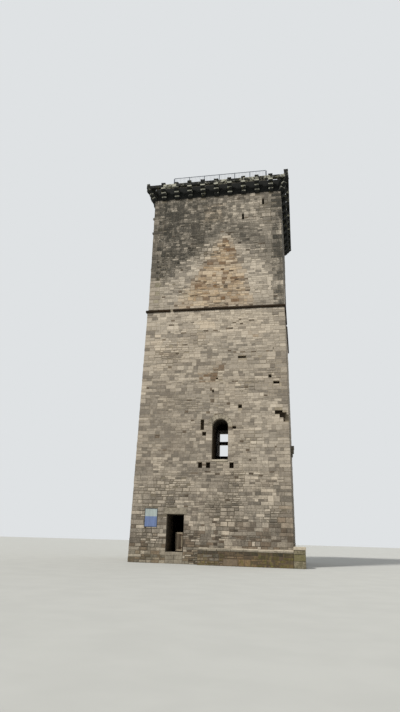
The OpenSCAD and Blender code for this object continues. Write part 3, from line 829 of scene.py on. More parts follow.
def rows_within(rng, z0, z1, size):
    """Bed joints of one to three rows of stones within a part of a main course."""
    height = z1 - z0
    fit = [n for n in (1, 2, 3) if size.stone_low < height / n < size.stone_high]
    rows = int(rng.choice(fit)) if fit else 2
    return cuts(rng, z0, z1, 0.7, 1.3, height / rows)


def rectangle(x0, x1, z0, z1):
    """An opening with straight sides, as its heights and its sides at a height."""
    return z0, z1, lambda z: (x0, x1)


def hole_at(x, z, w, h):
    """A small hole from its middle, width and height."""
    return rectangle(x - w / 2, x + w / 2, z - h / 2, z + h / 2)


def arch_gap():
    """The ring of arch stones, down to its springing."""

    def sides(z):
        half = math.sqrt(max(0.0, ARCH_OUT_R**2 - (z - SPRING_Z) ** 2))
        return ARCH_X - half, ARCH_X + half

    return SPRING_Z, SPRING_Z + ARCH_OUT_R, sides


def box_outline(node):
    """The outline of a node on the front, as an opening."""
    low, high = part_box(node)
    return rectangle(low.x, high.x, low.z, high.z)


def openings(side):
    """Everything on a side of the lower stage that its facing stones leave free."""
    beyond, below = GROUND_HALF + 1, -1.0
    if side == 0:
        sill_low, sill_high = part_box("door_threshold")
        found = [
            rectangle(sill_low.x, sill_high.x, below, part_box("door_lintel")[0].z),
            box_outline("door_lintel"),
            rectangle(SILL_LOW.x, SILL_HIGH.x, SILL_LOW.z, SPRING_Z),
            arch_gap(),
            rectangle(PLINTH_LOW.x, beyond, below, PLINTH_HIGH.z - CAP_SINK),
            box_outline("notice_board"),
        ]
        found += [rectangle(*stone) for stone in FALLEN_STONES]
        found += [hole_at(ARCH_X + x, SOCKET_Z, SOCKET_W, SOCKET_H) for x in SOCKETS]
        found += [hole_at(ARCH_X + x, SPRING_Z + z, w, h) for x, z, w, h in SMALL_HOLES]
        return found
    if side == 1:
        z0, z1 = FALLEN_STONES[-1][2:]
        return [
            rectangle(-beyond, BLOCK_HIGH.y, below, BLOCK_HIGH.z - CAP_SINK),
            rectangle(-beyond, FALLEN_DEPTH - float(face_at(z0)), z0, z1),
        ]
    if side == 2:
        return [rectangle(-WINDOW_HIGH.x, -WINDOW_LOW.x, WINDOW_Z0, WINDOW_Z1)]
    return []


def upper_openings(side):
    """Everything on a side of the upper stage that its facing stones leave free."""
    found = [rectangle(x - CORBEL_W / 2, x + CORBEL_W / 2, CORBEL_Z, HEAD_Z) for x in CORBELS]
    if side == 0:
        found += [hole_at(x, z, LOOP_W, LOOP_H) for x, z in LOOPS]
    return found


def shared(gap, z0, z1, least=0.01):
    """The sides of an opening at the bottom and at the top of what it takes of a row, or None
    where it takes less than the least height."""
    low, high, sides = gap
    bottom, top = max(z0, low), min(z1, high)
    return sides(bottom) + sides(top) if top - bottom > least else None


def free_stretches(z0, z1, left, right, gaps):
    """Stretches of a row that no opening takes, with the openings' sides at its bottom and top."""
    found, here = [], tuple(left)
    for b0, b1, t0, t1 in sorted(filter(None, (shared(gap, z0, z1) for gap in gaps))):
        found.append((z0, z1, here[0], min(b0, right[0]), here[1], min(t0, right[1])))
        here = (max(here[0], b1), max(here[1], t1))
    found.append((z0, z1, here[0], right[0], here[1], right[1]))
    return found


def merged(reaches):
    """Overlapping or touching stretches made into one."""
    found = []
    for start, end in sorted(reaches):
        if found and start < found[-1][1] + 0.02:
            found[-1] = (found[-1][0], max(end, found[-1][1]))
        else:
            found.append((start, end))
    return found


def holds_stone(span):
    """Whether a stretch is long enough for a stone."""
    at_bottom, at_top = span[3] - span[2], span[5] - span[4]
    return min(at_bottom, at_top) > -0.02 and max(at_bottom, at_top) > LEAST_STONE


def row_spans(z0, z1, left, right, gaps):
    """Stretches of a row between its openings, as ends at its bottom and at its top, and the low
    stretches over and under an opening that takes only a part of its height."""
    near = [gap for gap in gaps if shared(gap, z0, z1)]
    ends = [shared(gap, z0, z1) for gap in near]
    reaches = merged((min(sides), max(sides)) for sides in ends)
    spans = free_stretches(z0, z1, left, right, [rectangle(*reach, z0, z1) for reach in reaches])
    levels = [z0]
    for level in sorted([height for gap in near for height in gap[:2]] + [z1]):
        if levels[-1] + LEAST_ROW < level <= z1 - LEAST_ROW or level == z1:
            levels.append(level)
    for start, end in reaches:
        from_left = (max(start, left[0]), max(start, left[1]))
        to_right = (min(end, right[0]), min(end, right[1]))
        for low, high in pairs(levels):
            spans += free_stretches(low, high, from_left, to_right, near)
    return [span for span in spans if holds_stone(span)]


# Weather


def smooth(value, low, high):
    """Zero at low, one at high, and smooth between them."""
    t = np.clip((np.asarray(value, float) - low) / (high - low), 0, 1)
    return t * t * (3 - 2 * t)


def belt(value, low, high, rise, fall):
    """Zero beyond two places and one between them, apart from a smooth rise and fall inside."""
    return smooth(value, low, low + rise) * smooth(high - value, 0, fall)


def noise_over(along, z, scale, depth):
    """Noise at places on a side, from about -1 to 1."""
    wide, tall = scale
    return np.array([noise.noise(Vector((a * wide, b * tall, depth))) for a, b in zip(along, z)])


def drift(along, z, side, scale=0.45):
    """Slow change over a side, from about -1 to 1."""
    return noise_over(along, z, (scale, scale), side * 7.3) * 1.6


def lower_weather(along, z, side, slow):
    """Weather on the lower stage: cleanest under the string course, dirtiest at the foot."""
    foot = 1 - smooth(z, 0.3, FOOT_TOP)
    tone = 0.39 + 0.27 * smooth(z, *PALE_RISE) + 0.08 * slow - 0.02 * foot
    tone = tone - 0.12 * smooth(along, *DULL_CORNER)
    if side == 0:
        left, right = smooth(-along, 0.6, 2.4), smooth(along, 1.6, 3.2)
        tone = tone - 0.22 * left * belt(z, *DULL_BY_ARCH, 2.0, 2.0)
        tone = tone + 0.21 * right * belt(z, *PALE_BY_ARCH, 2.5, 2.0)
    return {
        "tone": tone,
        "ochre": 0.08 + 0.08 * slow,
        "grime": 0.08 + 0.30 * foot + 0.08 * slow,
        "grime_most": 0.14 + 0.50 * foot,
        "lime": np.full_like(z, 0.10),
        "algae": 0.10 * (1 - smooth(z, 0.2, 1.6)),
        "soot": np.zeros_like(z),
    }


def front_lichen(along, z):
    """On the upper front, the dark lichen's lower edge, its strength and its dark corner band."""
    from_corner, from_peak = along + 5, along - 0.5
    edge = np.where(from_peak < 0, 18.9 + 0.87 * from_corner, 23.7 - 0.75 * from_peak)
    clean = 0.12 * smooth(along, 0.6, 2.6) * smooth(z, 23.5, 25.0)
    band = smooth(along, 4.1, 4.7)
    return edge, np.maximum(1.00 - 0.045 * from_corner - clean, 0.92 * band), band


def ochre_triangle(along, z):
    """The eroded triangle on the upper front, widest at the string course."""
    down = TRIANGLE_TOP - z
    centre, half = TRIANGLE_X - 0.14 * down, 0.45 + 0.44 * down
    inside = smooth(half - np.abs(along - centre), -0.35, 0.55)
    return inside * belt(z, 17.2, TRIANGLE_TOP + 0.3, 1.2, 0.6)


def upper_weather(along, z, side, slow):
    """Weather on the upper stage: dark lichen down to a ragged edge, on the front a triangle of eroded
    ochre stones under it, and black between the corbels, painted as crust and standing in for the shade
    there."""
    if side == 0:
        edge, strength, band = front_lichen(along, z)
        ochre = ochre_triangle(along, z)
        algae = 0.5 * smooth(-along, 4.0, 4.9) * belt(z, 17.7, 20.7, 1.0, 1.0)
        algae = algae + 0.4 * smooth(-along, 4.4, 4.9) * belt(z, 23.4, 26.6, 1.0, 1.0)
    else:
        edge = 20.6 + 1.3 * np.sin(along * 0.8 + side * 2.1) + 0.7 * np.sin(along * 2.1 + side)
        strength, band = 0.80, 0.0
        ochre, algae = np.clip(0.25 * slow, 0, 1), 0.0
    above = np.maximum(smooth(z - edge + 0.5 * slow, -0.9, 1.1), 0.9 * band)
    # Painted shade: black over the wall between the corbels, as crust, where shade falls under the lintels
    crust = smooth(z, CORBEL_Z - 0.05, CORBEL_Z + 0.20)
    return {
        "tone": (0.56 + 0.10 * slow + 0.08 * ochre) * (1 - crust),
        "ochre": ochre,
        "grime": 0.08 + 0.70 * above + 0.8 * crust,
        "grime_most": 0.14 + (strength - 0.12) * above + crust,
        "lime": (0.12 + 0.78 * above) * (1 - crust),
        "algae": algae * (1 - crust),
        "soot": crust,
    }


def add_patches(rng, marks, along, z):
    """Changes the marks of the stones in each patch of the front, some of them hardly at all."""
    for x, up, half_x, half_z, tone, ochre in FRONT_PATCHES:
        inside = smooth(half_x + 0.15 - np.abs(along - x), 0.0, 0.3)
        inside = inside * smooth(half_z + 0.10 - np.abs(z - up), 0.0, 0.2)
        inside = inside * rng.choice(PATCH_SHARES, len(along))
        marks["tone"] += tone * inside
        marks["grime"] -= 0.8 * tone * inside
        marks["ochre"] += ochre * inside


def stone_marks(rng, along, z, side, brighter=0.0):
    """What weather has done to each stone: its tone, ochre, grime, pale crust, algae and soot, with painted
    shade between the corbels darkening the tone and adding to the grime and soot.
    """
    along, z = np.asarray(along, float), np.asarray(z, float)
    count = len(along)
    slow = drift(along, z, side)
    lower, upper = lower_weather(along, z, side, slow), upper_weather(along, z, side, slow)
    marks = {key: np.where(z > STRING_LOW.z, upper[key], lower[key]) for key in lower}
    foot = 1 - smooth(z, 1.0, 12.0)
    base = 1 - smooth(z, 1.0, 3.6)
    head = smooth(z, STRING_HIGH.z, STRING_HIGH.z + 3.0)
    worn = rng.uniform(0, 1, count) < 0.10 + 0.24 * base
    clean = rng.uniform(0, 1, count) < 0.06
    brown = (rng.uniform(0, 1, count) < 0.16) & (marks["ochre"] > 0.35)
    patchy = 0.10 * drift(along, z, side, 1.3) + (0.07 + 0.05 * foot) * drift(along, z, side + 4, 2.6)
    marks["tone"] += brighter + patchy + rng.normal(0, 0.19 + 0.05 * head + 0.07 * base, count)
    marks["tone"] += 0.28 * clean - (0.34 + 0.16 * base) * worn - 0.40 * brown - 0.10 * base
    marks["ochre"] = marks["ochre"] * rng.uniform(0.35, 1.0, count) + 0.35 * base * worn
    marks["grime"] += rng.normal(0, 0.10 + 0.06 * foot + 0.06 * head, count)
    marks["grime"] += 0.14 * worn - 0.15 * clean
    marks["lime"] = marks["lime"] * rng.uniform(0.3, 1.5, count)
    if side == 0:
        add_patches(rng, marks, along, z)
    return {key: np.clip(value, 0, 1) for key, value in marks.items()}


# Laying the stones


# Faces over the three rings of four corners of a facing stone: in the wall, its edge and its face
FACING_FACES = [(3, 2, 1, 0)] + ring_faces(0, 4) + ring_faces(4, 4) + [(8, 9, 10, 11)]

# How far a facing stone reaches into the wall
BEDDED = 0.03


def facing_stones(
    rng, stones, side, size, name, slot, marks, reach=face_at, recipe=wall_stone, rough=0.0, wave=None
):
    """Lays stones on a side. Each is (bottom, top, left and right at the bottom, left and right at
    the top). Rough stones stand out more and have wider joints; the wave lifts the bed joints."""
    count = len(stones)
    z0, z1, bl, br, tl, tr = np.array(stones, float).T
    along = np.stack([bl, br, tr, tl], 1)
    up = np.stack([z0, z0, z1, z1], 1)
    inward_x, inward_z = np.array([1, -1, -1, 1.0]), np.array([1, 1, -1, -1.0])
    rough = np.broadcast_to(rough, count)[:, None]
    gap, chamfer = size.joint / 2 * (1 + 2.0 * rough), size.chamfer * (1 + 0.6 * rough)
    if wave is not None:
        up = up + wave(along, up)
    along = along + inward_x * gap + rng.uniform(-0.006, 0.006, (count, 4))
    up = up + inward_z * gap + rng.uniform(-0.005, 0.005, (count, 4))
    proud = size.proud * rng.uniform(0.45, 1.35, (count, 1)) * (1 + 1.3 * rough)
    inset = np.minimum(chamfer, np.maximum(br - bl, tr - tl)[:, None] * 0.3)
    rings = [np.stack([along, reach(up) - BEDDED, up], axis=-1)]
    for a, b, out in (
        (along, up, proud - chamfer * 0.5),
        (along + inward_x * inset, up + inward_z * chamfer, proud),
    ):
        wobble = rng.uniform(-0.003, 0.003, (count, 4))
        rings.append(np.stack([a, reach(b) + out + wobble, b], axis=-1))
    points = turned(np.concatenate(rings, axis=1).reshape(-1, 3), side)
    faces = [tuple(12 * n + i for i in face) for n in range(count) for face in FACING_FACES]
    spread = {key: np.repeat(value, 12) for key, value in marks.items()}
    return mesh_piece(name, points, faces, recipe, slot=slot, marks=spread)


def blocked(gaps, z0, z1, start, end):
    """Whether an opening takes a part of a course between two places along it."""
    taken = filter(None, (shared(gap, z0, z1, 0.02) for gap in gaps))
    return any(min(sides) < end and max(sides) > start for sides in taken)


def corner_stones(rng, corner, beds, gaps_of, size):
    """Corner stones in each main course, from the bottom, as (bottom, top, run along this side, run
    along the next). Long and short runs take turns; nothing stands where an opening reaches."""
    found, turn = [], corner
    runs = (size.quoin_short, size.quoin_long)
    for z0, z1 in pairs(beds):
        levels = [z0, z1]
        if z1 - z0 >= 0.40:
            levels.insert(1, z0 + (z1 - z0) * rng.uniform(0.42, 0.58))
        course = []
        for a, b in pairs(levels):
            turned_runs = runs[::-1] if turn % 2 else runs
            here, after = (run * rng.uniform(0.86, 1.12) for run in turned_runs)
            half = float(face_at((a + b) / 2))
            if blocked(gaps_of(corner), a, b, half - here, half):
                here = after = 0.0
            elif blocked(gaps_of((corner + 1) % 4), a, b, -half, after - half):
                here = after = 0.0
            course.append((a, b, here, after))
            turn += 1
        found.append(course)
    return found


def course_rows(rng, z0, z1, left_stones, right_stones, size):
    """Rows of facing stones in one main course of a side, as (bottom, top, left ends, right ends).
    The course is parted into chunks, each with rows of its own; the outer ones follow the corner
    stones, given as (bottom, top, run)."""
    middle = float(face_at((z0 + z1) / 2))
    first = OUTER_CHUNK - middle + rng.uniform(-0.3, 0.5)
    last = middle - OUTER_CHUNK + rng.uniform(-0.5, 0.3)
    inner = cuts(rng, first, last, 0.5, 1.5, 1.3)
    rows = []
    for stones, outer, inside in ((left_stones, -1, inner[0]), (right_stones, 1, inner[-1])):
        for bottom, top, run in stones:
            levels = [bottom, top]
            if top - bottom > 0.24 and rng.uniform() < 0.6:
                levels.insert(1, bottom + (top - bottom) * rng.uniform(0.4, 0.6))
            for a, b in pairs(levels):
                ends = [outer * (face_at([a + 1e-4, b - 1e-4]) - run), np.array([inside, inside])]
                rows.append((a, b, *ends[::-outer]))
    for start, end in pairs(inner):
        for a, b in pairs(rows_within(rng, z0, z1, size)):
            rows.append((a, b, np.array([start, start]), np.array([end, end])))
    return rows


def bed_wave(low, high, side, gaps):
    """How far the bed joints waver at each place, calm at the corners, at the openings and at the
    stage's ends."""

    def wave(along, up):
        a, z = along.ravel(), up.ravel()
        calm = smooth(face_at(z) - np.abs(a), 0.85, 1.7)
        calm = calm * smooth(z - low, 0.0, 0.6) * smooth(high - z, 0.0, 0.6)
        for bottom, top, sides in gaps:
            left, right = sides(bottom)
            beside = np.maximum(left - a, a - right)
            away = np.maximum(beside, np.maximum(bottom - z, z - top))
            calm = calm * smooth(away, 0.02, 0.35)
        swing = noise_over(a, z, (0.55, 0.8), side * 5.1 + 2.0)
        return (BED_SWING * swing * calm).reshape(up.shape)

    return wave


def part_row(rng, span, size):
    """Facing stones that fill a stretch of a row."""
    z0, z1, bl, br, tl, tr = span
    at_bottom, at_top = br - bl, tr - tl
    usual = (size.stone_short + size.stone_long) / 2 * (0.7 + 1.4 * (z1 - z0))
    share = usual / max(at_bottom, at_top)
    return [
        (z0, z1, bl + a * at_bottom, bl + b * at_bottom, tl + a * at_top, tl + b * at_top)
        for a, b in pairs(cuts(rng, 0.0, 1.0, size.stone_short, size.stone_long, share))
    ]


def side_stones(rng, beds, left_corner, right_corner, gaps, size):
    """All facing stones of one side of a stage."""
    stones = []
    for (z0, z1), before, beside in zip(pairs(beds), left_corner, right_corner):
        left = [(a, b, run) for a, b, _, run in before]
        right = [(a, b, run) for a, b, run, _ in beside]
        for row in course_rows(rng, z0, z1, left, right, size):
            for span in row_spans(*row, gaps):
                stones += part_row(rng, span, size)
    return np.array(stones)


def lay_stage(low, high, gaps_of, stage_name, slot, shift):
    """Facing stones on four sides and corner stones on four corners. The roughest wall has lost
    some of its smallest stones, and others are dark."""
    size = sizes()
    rng = np.random.default_rng(size.seed + shift)
    beds = courses(rng, low, high, size)
    corners = [corner_stones(rng, corner, beds, gaps_of, size) for corner in range(4)]
    for side in range(4):
        gaps = gaps_of(side)
        stones = side_stones(rng, beds, corners[side - 1], corners[side], gaps, size)
        bottom, top, start, end = stones[:, :4].T
        along, up = (start + end) / 2, (bottom + top) / 2
        ragged = drift(along, up, side + 9, 0.6) + 0.60 * (1 - smooth(up, 1.5, 8.0))
        rough = smooth(ragged, 0.05, 0.75)
        small = (end - start) * (top - bottom) < SMALL_STONE
        kept = rng.uniform(0, 1, len(stones)) > 0.14 * rough * small
        stones, along, up, rough, small = (v[kept] for v in (stones, along, up, rough, small))
        marks = stone_marks(rng, along, up, side)
        dark = rng.uniform(0, 1, len(up)) < 0.11 + 0.16 * (1 - smooth(up, 1.0, 5.0))
        dark = dark * small
        marks["tone"] = marks["tone"] * (1 - 0.8 * dark)
        marks["ochre"] = np.maximum(marks["ochre"], 0.45 * dark)
        marks["soot"] = np.maximum(marks["soot"], rng.uniform(0.25, 0.6, len(up)) * dark)
        name, wave = f"{SIDES[side]}_facing_{stage_name}", bed_wave(low, high, side, gaps)
        facing_stones(rng, stones, side, size, name, slot, marks, rough=rough, wave=wave)
    lay_quoins(rng, corners, stage_name, slot, size)


def lay_quoins(rng, corners, stage_name, slot, size):
    """Corner stones of one stage."""
    heap = Heap()
    gap = size.joint / 2
    for corner, courses_here in enumerate(corners):
        for bottom, top, here, after in (stone for course in courses_here for stone in course):
            if not here:
                continue
            z0, z1 = bottom + gap, top - gap
            out = size.proud * rng.uniform(0.7, 1.9)
            ring = []
            for z in (z0, z1):
                face = float(face_at(z))
                left, right, near, far = face - here + gap, face + out, face + out, face - after + gap
                ring += [(left, near, z), (right, near, z), (right, far, z), (left, far, z)]
            ring = np.array(ring) + rng.uniform(-0.005, 0.005, (8, 3))
            points, faces = chamfered_blocks([ring], size.chamfer * 1.3)
            place = [float(face_at(z0)) - 0.3]
            marks = stone_marks(rng, place, [(z0 + z1) / 2], corner, 0.02)
            marks = {key: float(value[0]) for key, value in marks.items()}
            heap.add(turned(points, corner), faces, **marks)
    heap.piece(f"corner_stones_{stage_name}", wall_stone, slot=slot)


# Operators


class KeepOperator:
    """What every operator of this add-on shares."""

    bl_options = {"REGISTER", "UNDO"}

    # Where the operator's random choices start
    SEED = 0

    def execute(self, context):
        self.build()
        return {"FINISHED"}

    def chance(self):
        """The random choices of the pieces that an operator makes."""
        return np.random.default_rng(self.SEED)


def set_finish(recipe, *nodes):
    """Gives carried-over nodes of the frame a finish."""
    for name in nodes:
        slots = frame["nodes"][name].data.materials
        slots.clear()
        slots.append(finish(recipe))


class KEEP_OT_wall_cores(KeepOperator, bpy.types.Operator):
    """Finish the walls behind the facing stones"""

    bl_idname = "keep.wall_cores"
    bl_label = "Wall Cores"

    def build(self):
        set_finish(wall_core, *(name for name in frame["nodes"] if "_wall_" in name))


class KEEP_OT_lower_stage(KeepOperator, bpy.types.Operator):
    """Lay the facing and corner stones of the leaning lower stage"""

    bl_idname = "keep.lower_stage"
    bl_label = "Lower Stage"

    def build(self):
        lay_stage(0.0, STRING_LOW.z, openings, "lower", "wall_stone", 0)


class KEEP_OT_upper_stage(KeepOperator, bpy.types.Operator):
    """Lay the facing and corner stones of the straight upper stage"""

    bl_idname = "keep.upper_stage"
    bl_label = "Upper Stage"

    def build(self):
        lay_stage(STRING_HIGH.z, HEAD_Z, upper_openings, "upper", "upper_stone", 1)


class KEEP_OT_arched_opening(KeepOperator, bpy.types.Operator):
    """Dress the arch stones, the sill and the back window's transom"""

    bl_idname = "keep.arched_opening"
    bl_label = "Arched Opening"

    SEED = 5
    STONES = 9
    JOINT, JOINT_ANGLE = 0.002, 0.008
    FACE_DEPTH, MIDDLE_DEPTH = 0.38, 0.60
    PROUD, CHAMFER = 0.014, 0.012

    def build(self):
        rng = self.chance()
        stones = Heap()
        split = float(face_at(SPRING_Z)) - self.FACE_DEPTH
        stops = (ROOM_HALF + self.JOINT, split - self.MIDDLE_DEPTH, split)
        for start, end in pairs(np.linspace(0, math.pi, self.STONES + 1)):
            ring = self.wedge(start + self.JOINT_ANGLE, end - self.JOINT_ANGLE)
            # Painted shade: the stones inside the arch are dark, standing in for the shade in the opening
            for back, front in pairs(stops):
                near = [(x, back + self.JOINT, z) for x, z in ring]
                far = [(x, front - self.JOINT, z) for x, z in ring]
                stones.add_convex(chamfered_blocks([near + far], self.CHAMFER), 0, tone=0.0, grime=1.0)
            near = [(x, split + self.JOINT, z) for x, z in ring]
            far = [(x, float(face_at(z)) + self.PROUD, z) for x, z in ring]
            stone = chamfered_blocks([near + far], self.CHAMFER)
            stones.add_convex(stone, 0, tone=rng.uniform(0.40, 0.75), grime=0.12)
        stones.piece("arch_ring", dressed_stone, replaced=("arch_stones",))
        for name, node, low, high, seed, tone, grime in (
            ("arch_sill_slab", "arch_sill", SILL_LOW, SILL_HIGH, 3.0, 0.8, 0.0),
            ("window_transom", "back_window_transom", WINDOW_LOW, WINDOW_HIGH, 4.0, 0.4, 0.2),
        ):
            block = Heap()
            block.add(*worn_block(low, high, wear=0.008, step=0.25, seed=seed), tone=tone, grime=grime)
            block.piece(name, dressed_stone, replaced=(node,))

    def wedge(self, start, end):
        """An arch stone's outline between two angles."""
        corners = ((start, ARCH_R), (start, ARCH_OUT_R), (end, ARCH_OUT_R), (end, ARCH_R))
        return [(ARCH_X + r * math.cos(angle), SPRING_Z + r * math.sin(angle)) for angle, r in corners]


class KEEP_OT_doorway(KeepOperator, bpy.types.Operator):
    """Dress the doorway's lintel and threshold"""

    bl_idname = "keep.doorway"
    bl_label = "Doorway"

    SEED = 8
    PROUD, JOINT = 0.022, 0.006
    LINTEL_DEPTH, STEP_DEPTH = 0.3, 0.4

    # How far the lintel stays clear of its beds, and a block of the threshold of those under and
    # over it
    LINTEL_BED, STEP_BEDS = 0.004, (0.005, 0.003)

    # Stones side by side in each course of the threshold, from the bottom
    STEPS = (2, 2, 1)

    def build(self):
        set_finish(dressed_stone, "door_lintel", "door_threshold")
        self.lintel(*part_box("door_lintel"))
        self.threshold(*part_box("door_threshold"))

    def lintel(self, low, high):
        """The lintel's face, which leans with the wall."""
        slab = Heap()
        x0, x1 = low.x + self.JOINT, high.x - self.JOINT
        back = float(face_at(low.z)) - self.LINTEL_DEPTH
        corners = []
        for z in (low.z + self.LINTEL_BED, high.z - self.LINTEL_BED):
            front = float(face_at(z)) + self.PROUD
            corners += [(x0, front, z), (x1, front, z), (x1, back, z), (x0, back, z)]
        slab.add_convex(chamfered_blocks([corners], chamfer=0.018), 0, tone=0.45, grime=0.3)
        slab.piece("door_lintel_face", dressed_stone)

    def threshold(self, low, high):
        """Courses of worn blocks under the doorway."""
        rng = self.chance()
        step = Heap()
        under, over = self.STEP_BEDS
        levels = np.linspace(low.z, high.z, len(self.STEPS) + 1)
        for n, ((z0, z1), parts) in enumerate(zip(pairs(levels), self.STEPS)):
            face = -float(face_at(z0))
            for m, (x0, x1) in enumerate(pairs(np.linspace(low.x, high.x, parts + 1))):
                near = (x0 + self.JOINT, face - self.PROUD, z0 + under)
                far = (x1 - self.JOINT, face + self.STEP_DEPTH, z1 - over)
                block = worn_block(near, far, wear=0.008, seed=n + m)
                step.add(*block, tone=rng.uniform(0.3, 0.6), grime=0.35)
        step.piece("threshold_steps", dressed_stone)


class KEEP_OT_string_course(KeepOperator, bpy.types.Operator):
    """Run the string course round the keep in moulded stones"""

    bl_idname = "keep.string_course"
    bl_label = "String Course"

    SEED = 21
    STONE, JOINT, END_GAP = 0.85, 0.004, 0.01

    # The drip hollow: its middle from the wall, half its width and its height
    HOLLOW_OUT, HOLLOW_HALF, HOLLOW_RISE = 0.035, 0.04, 0.042

    # Where the nose starts and ends as shares of the height, and the depth in the wall
    NOSE_LOW, NOSE_HIGH, BED = 0.3, 0.6, 0.04

    # Where the moulding is broken, along the front and along the right side
    BREAKS = {0: (-3.36, -3.13), 1: (-1.50, -0.90)}

    def build(self):
        rng = self.chance()
        mouldings = Heap()
        profile = self.profile()
        for side in range(4):
            reach = -STRING_LOW.y if side in (0, 2) else UPPER_HALF - self.END_GAP
            edges = [-reach, *self.BREAKS.get(side, ()), reach]
            for start, end in zip(edges[::2], edges[1::2]):
                for a, b in pairs(cuts(rng, start, end, 0.7, 1.3, self.STONE)):
                    run = (a + self.JOINT, b - self.JOINT)
                    points, faces = extruded(profile, *run, edge=0.01, wear=0.012, step=0.3, seed=a * 3)
                    # Dark tone and brown crust: real crust, and painted shadow under the moulding
                    marks = {"tone": rng.uniform(0.0, 0.12), "brown": rng.uniform(0.7, 1.0)}
                    mouldings.add(turned(points, side), faces, **marks)
        mouldings.piece("string_mouldings", crusted_stone, replaced=("string_course",))

    def profile(self):
        """The moulding in (outwards, up): a drip hollow, an upright nose and a slope to the wall."""
        z, height = STRING_LOW.z, STRING_HIGH.z - STRING_LOW.z
        out, inner, middle = -STRING_LOW.y, UPPER_HALF, float(face_at(STRING_LOW.z)) + self.HOLLOW_OUT
        hollow = [
            (middle + self.HOLLOW_HALF * math.cos(angle), z + self.HOLLOW_RISE * math.sin(angle))
            for angle in np.linspace(math.pi, 0, 6)
        ]
        return hollow + [
            (out, z + height * self.NOSE_LOW),
            (out, z + height * self.NOSE_HIGH),
            (inner, z + height),
            (inner - self.BED, z + height),
            (inner - self.BED, z + self.JOINT / 2),
        ]


